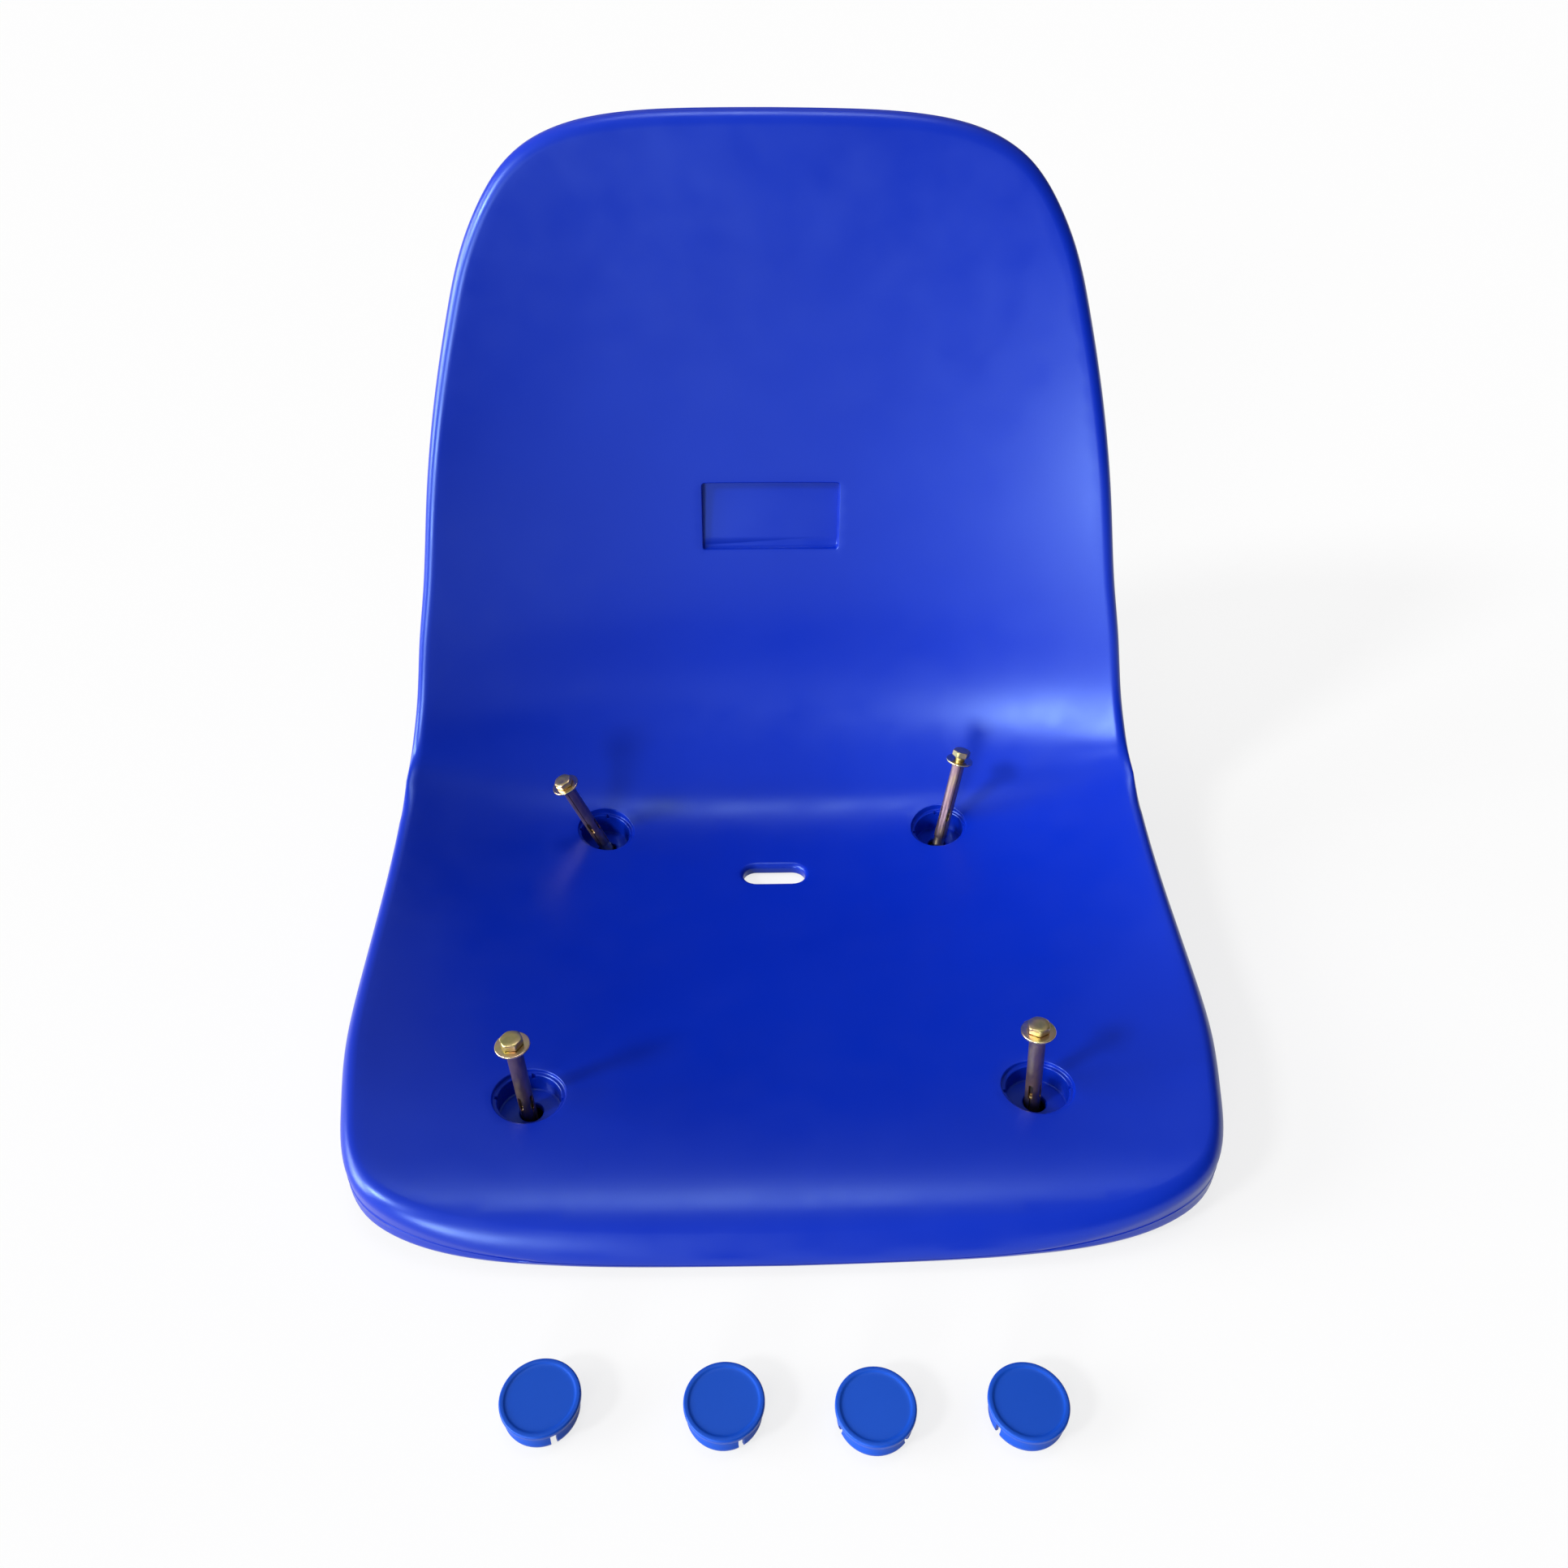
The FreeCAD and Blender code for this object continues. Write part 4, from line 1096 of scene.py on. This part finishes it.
class NodeTrees:
    """Geometry node trees for what repeats, and the baking of their results."""

    def new_tree(self, name: str, inputs: Sequence[tuple[str, str, float]]) -> bpy.types.NodeTree:
        """Geometry node tree with named inputs.

        Args:
            name: Name of the tree.
            inputs: Name, socket type and default of each input.

        Returns:
            The tree, with its group input and output nodes.
        """
        tree = bpy.data.node_groups.new(name, "GeometryNodeTree")
        tree.interface.new_socket("Geometry", in_out="INPUT", socket_type="NodeSocketGeometry")
        tree.interface.new_socket("Geometry", in_out="OUTPUT", socket_type="NodeSocketGeometry")
        for label, kind, default in inputs:
            socket = tree.interface.new_socket(label, in_out="INPUT", socket_type=kind)
            if kind in ("NodeSocketFloat", "NodeSocketInt"):
                socket.default_value = default
        tree.nodes.new("NodeGroupInput").name = "in"
        tree.nodes.new("NodeGroupOutput").name = "out"
        return tree

    def bake(
        self, name: str, tree: bpy.types.NodeTree, values: dict[str, object], frame: Matrix,
    ) -> bpy.types.Object:
        """Run a tree on an empty mesh, keep the result as a plain mesh and put it in place.

        Args:
            name: Name of the piece.
            tree: The node tree.
            values: Value of each named input.
            frame: Where the piece goes, in millimetres.

        Returns:
            The piece, linked, at the origin.
        """
        holder = bpy.data.objects.new(name + "_maker", bpy.data.meshes.new(name + "_maker"))
        bpy.context.scene.collection.objects.link(holder)
        modifier = holder.modifiers.new("maker", "NODES")
        modifier.node_group = tree
        for item in tree.interface.items_tree:
            if item.item_type == "SOCKET" and item.in_out == "INPUT" and item.name in values:
                modifier[item.identifier] = values[item.name]
        evaluated = holder.evaluated_get(bpy.context.evaluated_depsgraph_get())
        mesh = bpy.data.meshes.new_from_object(evaluated)
        holder.modifiers.clear()
        bpy.data.objects.remove(holder)
        mesh.name = name
        mesh.transform(frame)
        mesh.transform(Matrix.Scale(MM, 4))
        return linked_piece(name, mesh, 50.0)

    def thread(
        self, name: str, frame: Matrix, radius: float, depth: float, pitch: float, length: float,
        material: bpy.types.Material,
    ) -> bpy.types.Object:
        """Helical thread ridge.

        Args:
            name: Name of the piece.
            frame: Where the thread stands, its Z along the axis.
            radius: Outer radius of the thread.
            depth: Depth of the thread.
            pitch: Height of one turn.
            length: Length of the threaded part.
            material: Its material.

        Returns:
            The thread as one mesh.
        """
        tree = bpy.data.node_groups.get("thread_maker")
        if tree is None:
            tree = self.new_tree("thread_maker", (
                ("Radius", "NodeSocketFloat", 3.0), ("Depth", "NodeSocketFloat", 0.3),
                ("Turns", "NodeSocketFloat", 20.0), ("Length", "NodeSocketFloat", 20.0),
                ("Material", "NodeSocketMaterial", 0.0)))
            nodes, links = tree.nodes, tree.links
            source, target = nodes["in"], nodes["out"]
            spiral = nodes.new("GeometryNodeCurveSpiral")
            spiral.inputs["Resolution"].default_value = 24
            inner = nodes.new("ShaderNodeMath")
            inner.operation = "SUBTRACT"
            links.new(source.outputs["Radius"], inner.inputs[0])
            links.new(source.outputs["Depth"], inner.inputs[1])
            links.new(inner.outputs[0], spiral.inputs["Start Radius"])
            links.new(inner.outputs[0], spiral.inputs["End Radius"])
            links.new(source.outputs["Turns"], spiral.inputs["Rotations"])
            links.new(source.outputs["Length"], spiral.inputs["Height"])
            profile = nodes.new("GeometryNodeCurvePrimitiveCircle")
            profile.inputs["Resolution"].default_value = 4
            links.new(source.outputs["Depth"], profile.inputs["Radius"])
            sweep = nodes.new("GeometryNodeCurveToMesh")
            sweep.inputs["Fill Caps"].default_value = True
            links.new(spiral.outputs[0], sweep.inputs["Curve"])
            links.new(profile.outputs[0], sweep.inputs["Profile Curve"])
            real = nodes.new("GeometryNodeRealizeInstances")
            paint = nodes.new("GeometryNodeSetMaterial")
            links.new(sweep.outputs[0], real.inputs[0])
            links.new(real.outputs[0], paint.inputs["Geometry"])
            links.new(source.outputs["Material"], paint.inputs["Material"])
            links.new(paint.outputs[0], target.inputs[0])
        wound = length - 1.0
        values = {"Radius": radius, "Depth": depth, "Turns": wound / pitch, "Length": wound, "Material": material}
        return self.bake(name, tree, values, frame @ Matrix.Translation((0, 0, 0.7)))


# Cover caps


@dataclass(frozen=True)
class CapPlace:
    """Where one loose cover cap lies and which way its first slot looks."""

    name: str
    x: float
    y: float
    turn: float


CAPS = (
    CapPlace("one", -104.0, -257.0, -64.0),
    CapPlace("two", -29.3, -260.4, -63.0),
    CapPlace("three", 32.1, -264.0, -40.0),
    CapPlace("four", 94.4, -263.7, 90.0),
)


@dataclass
class CoverCap:
    """One push-in cover cap: dished head with a raised rim on a slotted skirt."""

    place: CapPlace
    radius: float = 16.6
    height: float = 10.8
    lip: float = 2.4
    skirt_radius: float = 15.3
    wall: float = 1.6
    dish: float = 0.5
    rim_width: float = 2.2
    round_over: float = 0.8
    slot: float = 2.6
    slots: int = 3
    bead: float = 0.35

    def head(self) -> bpy.types.Object:
        """Turned head with a raised rim, a shallow dish and the ledge under the lip."""
        mesh = MeshBuilder(f"cap_{self.place.name}_head")
        low = self.height - self.lip
        top = self.height
        curve = [(NEAR_AXIS, top - self.dish)]
        curve += [(r, top - self.dish) for r in (3.0, 6.0, 9.0, 12.0, self.radius - self.rim_width - 1.2)]
        rim_in = self.radius - self.rim_width
        curve += [(rim_in - 0.7, top - self.dish + 0.03), (rim_in - 0.3, top - self.dish * 0.75),
                  (rim_in, top - self.dish * 0.4), (rim_in + 0.3, top - self.dish * 0.1), (rim_in + 0.7, top)]
        curve += [(self.radius - self.round_over + self.round_over * math.sin(t),
                   top - self.round_over + self.round_over * math.cos(t)) for t in np.linspace(0, math.pi / 2, 8)]
        curve += [(self.radius, low + 0.5), (self.radius - 0.15, low + 0.15), (self.radius - 0.5, low)]
        curve += [(self.skirt_radius - 0.1, low), (self.skirt_radius - self.wall, low),
                  (self.skirt_radius - self.wall - 0.8, low - 0.1), (NEAR_AXIS, low - 0.1)]
        mesh.stack([mesh.add(circle(r, ring(128), z, self.place.x, self.place.y)) for r, z in curve])
        return mesh.finish(40.0)

    def skirt(self) -> bpy.types.Object:
        """Skirt of separate spring fingers with a small bead and a tapered edge."""
        mesh = MeshBuilder(f"cap_{self.place.name}_skirt")
        low = 0.0
        top = self.height - self.lip + 0.3
        outer = self.skirt_radius
        inner = self.skirt_radius - self.wall
        profile = [(outer - 0.7, low), (outer - 0.35, low + 0.25), (outer, low + 1.0),
                   (outer, low + 1.4), (outer + self.bead, low + 2.2), (outer + self.bead, low + 2.7),
                   (outer, low + 3.4), (outer, top), (inner, top), (inner, low + 0.2), (inner + 0.2, low)]
        half_gap = self.slot / 2 / self.skirt_radius
        for index in range(self.slots):
            start = math.radians(self.place.turn) + 2 * math.pi * index / self.slots + half_gap
            stop = math.radians(self.place.turn) + 2 * math.pi * (index + 1) / self.slots - half_gap
            rows = []
            for angle in np.linspace(start, stop, 26):
                rows.append(mesh.add([(r * math.cos(angle) + self.place.x, r * math.sin(angle) + self.place.y, z)
                                      for r, z in profile]))
            mesh.stack(rows)
            mesh.faces.append(tuple(rows[0]))
            mesh.faces.append(tuple(reversed(rows[-1])))
        return mesh.finish(40.0)


# Finishes


class NodeGraph:
    """A shader tree with short calls to add and join its nodes."""

    def __init__(self, tree: bpy.types.NodeTree) -> None:
        """Start with the tree emptied."""
        self.tree = tree
        self.tree.nodes.clear()

    def fill(self, node: bpy.types.Node, **values: object) -> None:
        """Set inputs of a node; underscores stand for the spaces in their names."""
        for label, value in values.items():
            node.inputs[label.replace("_", " ")].default_value = value

    def node(self, kind: str, **values: object) -> bpy.types.Node:
        """Add a node and set its inputs."""
        node = self.tree.nodes.new(kind)
        self.fill(node, **values)
        return node

    def join(self, source: bpy.types.NodeSocket, target: bpy.types.NodeSocket) -> None:
        """Link two sockets."""
        self.tree.links.new(source, target)

    def spread(self, source: bpy.types.NodeSocket, low: float, high: float, source_low: float = 0.3,
               source_high: float = 0.7) -> bpy.types.NodeSocket:
        """Map a value to a range."""
        node = self.node("ShaderNodeMapRange", From_Min=source_low, From_Max=source_high, To_Min=low, To_Max=high)
        self.join(source, node.inputs["Value"])
        return node.outputs[0]

    def maths(
        self, operation: str, one: bpy.types.NodeSocket, other: bpy.types.NodeSocket,
    ) -> bpy.types.NodeSocket:
        """Result of an operation on two values."""
        node = self.tree.nodes.new("ShaderNodeMath")
        node.operation = operation
        self.join(one, node.inputs[0])
        self.join(other, node.inputs[1])
        return node.outputs[0]

    def mix(
        self, share: bpy.types.NodeSocket, one: bpy.types.NodeSocket, other: bpy.types.NodeSocket,
    ) -> bpy.types.NodeSocket:
        """Mix of two shaders, all of the other one where the share is 1."""
        node = self.tree.nodes.new("ShaderNodeMixShader")
        for source, target in zip((share, one, other), node.inputs):
            self.join(source, target)
        return node.outputs[0]


class NodeSheet(NodeGraph):
    """A material with a Principled shader and Object coordinates."""

    def __init__(self, name: str) -> None:
        """Start the material.

        Args:
            name: Name of the material.
        """
        self.material = bpy.data.materials.new(name)
        self.material.use_nodes = True
        super().__init__(self.material.node_tree)
        self.shader = self.node("ShaderNodeBsdfPrincipled")
        self.surface = self.node("ShaderNodeOutputMaterial").inputs["Surface"]
        self.join(self.shader.outputs[0], self.surface)
        self.place = self.node("ShaderNodeTexCoord").outputs["Object"]

    def noise(self, scale: float, detail: float, stretch: Point = (1.0, 1.0, 1.0)) -> bpy.types.NodeSocket:
        """Noise on Object coordinates.

        Args:
            scale: Cells per metre.
            detail: Octaves of finer noise.
            stretch: How much longer the cells are along each axis.

        Returns:
            The noise's value socket.
        """
        mapping = self.node("ShaderNodeMapping", Scale=stretch)
        mapping.vector_type = "TEXTURE"
        self.join(self.place, mapping.inputs["Vector"])
        node = self.node("ShaderNodeTexNoise", Scale=scale, Detail=detail)
        self.join(mapping.outputs[0], node.inputs["Vector"])
        return node.outputs[0]

    def ramp(
        self, source: bpy.types.NodeSocket, stops: Sequence[tuple[float, Sequence[float]]],
    ) -> bpy.types.NodeSocket:
        """Colour ramp through the given stops.

        Args:
            source: Value that chooses the colour.
            stops: Places and their linear colours, in order.

        Returns:
            The ramp's colour socket.
        """
        node = self.tree.nodes.new("ShaderNodeValToRGB")
        elements = node.color_ramp.elements
        while len(elements) < len(stops):
            elements.new(0.5)
        for element, (place, colour) in zip(elements, stops):
            element.position = place
            element.color = (*colour, 1.0)
        self.join(source, node.inputs[0])
        return node.outputs[0]

    def bump(
        self, source: bpy.types.NodeSocket, depth: float, strength: float,
        before: bpy.types.NodeSocket | None = None,
    ) -> bpy.types.NodeSocket:
        """Bump of a depth in metres and a strength, on top of an earlier one."""
        node = self.node("ShaderNodeBump", Distance=depth, Strength=strength)
        self.join(source, node.inputs["Height"])
        if before is not None:
            self.join(before, node.inputs["Normal"])
        return node.outputs[0]


@dataclass(frozen=True)
class MouldedPlastic:
    """Satin coloured polyethylene with a fine moulded grain.

    Attributes:
        name: Name of the material.
        deep: Linear colour of the darker clouds.
        fair: Linear colour of the lighter clouds.
        roughness: Middle of the roughness.
        specular: Strength of the reflections.
        sheen: Tint of the reflections.
        grain: Depth of the grain in metres.
    """

    name: str
    deep: tuple[float, float, float]
    fair: tuple[float, float, float]
    roughness: float
    specular: float
    sheen: tuple[float, float, float] = (0.39, 0.61, 1.0)
    grain: float = 0.00003

    def material(self) -> bpy.types.Material:
        """Make the material."""
        sheet = NodeSheet(self.name)
        cloud = sheet.noise(7.0, 4.0)
        sheet.join(sheet.ramp(cloud, ((0.25, self.deep), (0.75, self.fair))), sheet.shader.inputs["Base Color"])
        patch = sheet.noise(38.0, 5.0)
        sheet.join(sheet.spread(patch, self.roughness - 0.03, self.roughness + 0.05),
                   sheet.shader.inputs["Roughness"])
        ripple = sheet.bump(sheet.noise(55.0, 2.0), 0.00012, 0.2)
        fine = sheet.bump(sheet.noise(2600.0, 2.0), self.grain, 0.5, ripple)
        sheet.join(fine, sheet.shader.inputs["Normal"])
        sheet.fill(sheet.shader, Specular_IOR_Level=self.specular, Specular_Tint=(*self.sheen, 1.0), IOR=1.5)
        return sheet.material


@dataclass(frozen=True)
class YellowZinc:
    """Yellow passivated zinc: gold with pink, violet and green tints.

    Attributes:
        name: Name of the material.
        tints: Linear colours that follow each other in patches.
        roughness: Middle of the roughness.
        patch_scale: Patches per metre.
        metal: Share of metal, lower where the film is thick.
    """

    name: str
    tints: tuple[tuple[float, float, float], ...]
    roughness: float
    patch_scale: float = 140.0
    metal: float = 1.0

    def material(self) -> bpy.types.Material:
        """Make the material."""
        sheet = NodeSheet(self.name)
        film = sheet.noise(self.patch_scale, 3.0, (1.0, 1.0, 2.2))
        stops = [(0.3 + 0.4 * i / (len(self.tints) - 1), tint) for i, tint in enumerate(self.tints)]
        sheet.join(sheet.ramp(film, stops), sheet.shader.inputs["Base Color"])
        wear = sheet.noise(420.0, 4.0)
        sheet.join(sheet.spread(wear, self.roughness - 0.04, self.roughness + 0.05),
                   sheet.shader.inputs["Roughness"])
        drawn = sheet.bump(sheet.noise(900.0, 2.0, (1.0, 1.0, 6.0)), 0.00003, 0.4)
        fine = sheet.bump(sheet.noise(3800.0, 2.0), 0.000012, 0.5, drawn)
        sheet.join(fine, sheet.shader.inputs["Normal"])
        sheet.fill(sheet.shader, Metallic=self.metal)
        return sheet.material


SHELL_PLASTIC = MouldedPlastic("seat_blue_plastic", (0.0003, 0.017, 0.39), (0.0006, 0.021, 0.43), 0.31, 0.85)
CAP_PLASTIC = MouldedPlastic("cap_blue_plastic", (0.004, 0.060, 0.46), (0.007, 0.075, 0.54), 0.40, 0.50)
ZINC = {
    Plating.HEAD: YellowZinc(
        "head_yellow_zinc", ((0.50, 0.47, 0.20), (0.66, 0.55, 0.24), (0.70, 0.52, 0.30), (0.55, 0.50, 0.24)), 0.32),
    Plating.WASHER: YellowZinc(
        "washer_yellow_zinc", ((0.62, 0.58, 0.28), (0.80, 0.66, 0.38), (0.80, 0.58, 0.42), (0.70, 0.60, 0.36)), 0.22),
    Plating.SLEEVE: YellowZinc(
        "sleeve_yellow_zinc", ((0.46, 0.35, 0.21), (0.40, 0.26, 0.25), (0.28, 0.19, 0.22), (0.52, 0.40, 0.24)), 0.36,
        90.0, 0.92),
    Plating.NUT: YellowZinc(
        "nut_yellow_zinc", ((0.55, 0.50, 0.24), (0.72, 0.60, 0.32), (0.62, 0.50, 0.30)), 0.32),
}


# The studio


@dataclass(frozen=True)
class Lamp:
    """One soft sun.

    Attributes:
        name: Name of the lamp.
        towards: Direction from the seat to the lamp.
        energy: Its strength.
        angle: How wide it looks from the seat, in degrees.
    """

    name: str
    towards: Point
    energy: float
    angle: float

    def build(self) -> None:
        """Add the lamp, 1.6 m from the middle of the seat."""
        data = bpy.data.lights.new(self.name, "SUN")
        data.energy = self.energy
        data.angle = math.radians(self.angle)
        lamp = bpy.data.objects.new(self.name, data)
        bpy.context.scene.collection.objects.link(lamp)
        towards = Vector(self.towards).normalized()
        lamp.location = towards * 1.6 + Vector((0, 0, 0.15))
        lamp.rotation_mode = "QUATERNION"
        lamp.rotation_quaternion = towards.to_track_quat("Z", "Y")


LAMPS = (
    Lamp("window_light", (-0.74, -0.42, 0.52), 1.8, 10.0),
    Lamp("side_light", (-0.93, 0.10, 0.34), 1.2, 26.0),
    Lamp("low_light", (-0.95, -0.20, 0.20), 2.0, 24.0),
    Lamp("front_glow", (-0.43, -0.89, 0.13), 1.8, 18.0),
    Lamp("ceiling_glow", (0.0, 0.20, 0.98), 0.4, 18.0),
)


@dataclass(frozen=True)
class Studio:
    """Pale floor, soft lights and the camera at the photograph's angle.

    Attributes:
        room_light: Direction that the room's own light comes from.
        half_floor: Half of the floor's width in metres.
        front_shade_radius: Radius of the dark disc of painted shade on the floor in the relief under a front floor,
            in millimetres.
        rear_shade_radius: Radius of the dark disc of painted shade on the floor under a rear floor, in millimetres.
        shade_disc_level: Height of the discs of painted shade, in millimetres.
        camera_place: Place of the camera in metres.
        camera_turn: Downward pitch, yaw to the right and roll of the camera in degrees.
        lens: Focal length for a sensor 36 mm wide.
        shift: Shift of the picture, as shares of its width.
    """

    room_light: Point = (-0.70, -0.10, 0.70)
    half_floor: float = 40.0
    front_shade_radius: float = 13.7
    rear_shade_radius: float = 7.0
    shade_disc_level: float = 0.05
    camera_place: Point = (-0.018, -0.523, 0.498)
    camera_turn: Point = (34.8, 2.0, -0.5)
    lens: float = 27.95
    shift: tuple[float, float] = (0.0026, -0.001)

    def floor(self) -> bpy.types.Object:
        """Large pale floor that takes the object's soft shadow."""
        mesh = bpy.data.meshes.new("floor")
        half = self.half_floor
        mesh.from_pydata([(-half, -half, 0.0), (half, -half, 0.0), (half, half, 0.0), (-half, half, 0.0)], [],
                         [(0, 1, 2, 3)])
        floor = bpy.data.objects.new("floor", mesh)
        bpy.context.scene.collection.objects.link(floor)
        sheet = NodeSheet("pale_floor")
        rays = sheet.node("ShaderNodeLightPath").outputs
        pale = sheet.ramp(rays["Is Diffuse Ray"], ((0.0, (0.92, 0.92, 0.92)), (1.0, (0.30, 0.30, 0.30))))
        sheet.join(pale, sheet.shader.inputs["Base Color"])
        sheet.fill(sheet.shader, Roughness=0.9, Specular_IOR_Level=0.0)
        white = sheet.node("ShaderNodeEmission")
        seen = sheet.maths("MAXIMUM", rays["Is Camera Ray"], rays["Is Glossy Ray"])
        seen = sheet.maths("MAXIMUM", seen, rays["Is Transmission Ray"])
        share = sheet.spread(seen, 0.0, 0.78, 0.0, 1.0)
        sheet.join(sheet.mix(share, sheet.shader.outputs[0], white.outputs[0]), sheet.surface)
        floor.data.materials.append(sheet.material)
        return floor

    def painted_hole_shade_discs(self) -> list[bpy.types.Object]:
        """Near-black discs of painted shade on the floor under the four fixing holes, wider below the reliefs of the
        front floors.
        """
        sheet = NodeSheet("drilled_hole")
        # Near-black colour that paints the shade inside the fixing holes onto the floor.
        sheet.fill(sheet.shader, Base_Color=(0.01, 0.01, 0.01, 1.0), Roughness=1.0, Specular_IOR_Level=0.0)
        holes = []
        for place in ANCHORS:
            mesh = MeshBuilder(f"{place.name}_ground_hole")
            radius = self.front_shade_radius if place.name.startswith("front") else self.rear_shade_radius
            rim = mesh.add(circle(radius, ring(32), self.shade_disc_level, place.x, place.y))
            mesh.fan(rim, (place.x, place.y, self.shade_disc_level))
            hole = mesh.finish()
            hole.data.materials.append(sheet.material)
            holes.append(hole)
        return holes

    def world(self) -> None:
        """White background for the camera and for reflections near the horizon, softer light above."""
        world = bpy.data.worlds.new("studio")
        bpy.context.scene.world = world
        world.use_nodes = True
        graph = NodeGraph(world.node_tree)
        place = graph.node("ShaderNodeTexCoord").outputs["Generated"]
        split = graph.node("ShaderNodeSeparateXYZ")
        graph.join(place, split.inputs[0])
        side = graph.node("ShaderNodeVectorMath")
        side.operation = "DOT_PRODUCT"
        side.inputs[1].default_value = tuple(Vector(self.room_light).normalized())
        graph.join(place, side.inputs[0])
        level = graph.spread(side.outputs["Value"], 0.05, 0.42, -0.2, 1.0)
        low = graph.spread(split.outputs["Z"], 1.0, 0.0, 0.05, 0.2)
        behind = graph.spread(split.outputs["Y"], 0.0, 1.0, 0.0, 0.3)
        rays = graph.node("ShaderNodeLightPath").outputs
        mirror = graph.maths("MAXIMUM", rays["Is Glossy Ray"], rays["Is Transmission Ray"])
        near = graph.maths("MULTIPLY", mirror, graph.maths("MULTIPLY", behind, low))
        shown = graph.maths("MAXIMUM", rays["Is Camera Ray"], near)
        soft, white = (graph.node("ShaderNodeBackground", Color=(1.0, 1.0, 1.0, 1.0)) for _ in range(2))
        graph.join(level, soft.inputs["Strength"])
        output = graph.node("ShaderNodeOutputWorld")
        graph.join(graph.mix(shown, soft.outputs[0], white.outputs[0]), output.inputs["Surface"])

    def camera(self) -> None:
        """Camera solved from the photograph."""
        pitch, yaw, roll = (math.radians(a) for a in self.camera_turn)
        forward = Vector((math.sin(yaw) * math.cos(pitch), math.cos(yaw) * math.cos(pitch), -math.sin(pitch)))
        right = Vector((math.cos(yaw), -math.sin(yaw), 0.0))
        down = forward.cross(right)
        across = right * math.cos(roll) + down * math.sin(roll)
        under = down * math.cos(roll) - right * math.sin(roll)
        turn = Matrix((across, -under, -forward)).transposed()
        data = bpy.data.cameras.new("photo_camera")
        data.sensor_width = 36.0
        data.lens = self.lens
        data.shift_x, data.shift_y = self.shift
        data.clip_start = 0.01
        data.clip_end = 200.0
        camera = bpy.data.objects.new("photo_camera", data)
        bpy.context.scene.collection.objects.link(camera)
        camera.matrix_world = Matrix.Translation(self.camera_place) @ turn.to_4x4()
        bpy.context.scene.camera = camera

    def build(self) -> None:
        """Make everything that isn't part of the object."""
        # The floor, then the near-black discs of painted shade under the fixing holes.
        for piece in (self.floor(), *self.painted_hole_shade_discs()):
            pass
        self.world()
        for lamp in LAMPS:
            lamp.build()
        self.camera()
        bpy.context.scene.view_settings.view_transform = "Standard"


# Putting it together


def dress(piece: bpy.types.Object, material: bpy.types.Material, body: str,
          replaces: str | None = None) -> None:
    """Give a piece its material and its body.

    Args:
        piece: The piece.
        material: Its only material.
        body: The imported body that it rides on.
        replaces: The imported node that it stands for.
    """
    piece.data.materials.clear()
    piece.data.materials.append(material)
    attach(piece, body)
    if replaces:
        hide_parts(replaces)
    LOG.info("%s: %d faces", piece.name, len(piece.data.polygons))


def dress_anchor(place: AnchorPlace, trees: NodeTrees, zinc: dict[Plating, bpy.types.Material]) -> None:
    """Build one anchor and put its pieces on their bodies.

    Args:
        place: Which anchor.
        trees: Maker of the repeated pieces.
        zinc: Material of each kind of plating.
    """
    anchor = SleeveAnchor(place)
    name = place.name
    washer_body = "rear_right_loose_washer" if name == "rear_right" else f"{name}_anchor"
    dress(anchor.bolt(), zinc[Plating.HEAD], f"{name}_screw", f"{name}_bolt")
    dress(anchor.thread(trees, zinc[Plating.HEAD]), zinc[Plating.HEAD], f"{name}_screw")
    dress(anchor.washer(), zinc[Plating.WASHER], washer_body, f"{name}_washer")
    dress(anchor.sleeve(), zinc[Plating.SLEEVE], f"{name}_anchor", f"{name}_sleeve")
    dress(anchor.cone_nut(), zinc[Plating.NUT], f"{name}_cone", f"{name}_cone_nut")


def main() -> None:
    """Build the whole visual model in order."""
    logging.basicConfig(level=logging.INFO, format="%(name)s: %(message)s")
    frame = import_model()
    LOG.info("frame with %d nodes", len(frame["nodes"]))
    studio = Studio()
    studio.build()
    zinc = {kind: finish.material() for kind, finish in ZINC.items()}
    dress(SeatShell().build(), SHELL_PLASTIC.material(), "seat", "seat_shell")
    trees = NodeTrees()
    for place in ANCHORS:
        dress_anchor(place, trees, zinc)
    plastic = CAP_PLASTIC.material()
    for place in CAPS:
        cap = CoverCap(place)
        dress(cap.head(), plastic, f"cap_{place.name}", f"cover_cap_{place.name}")
        dress(cap.skirt(), plastic, f"cap_{place.name}")


if __name__ == "__main__":
    main()
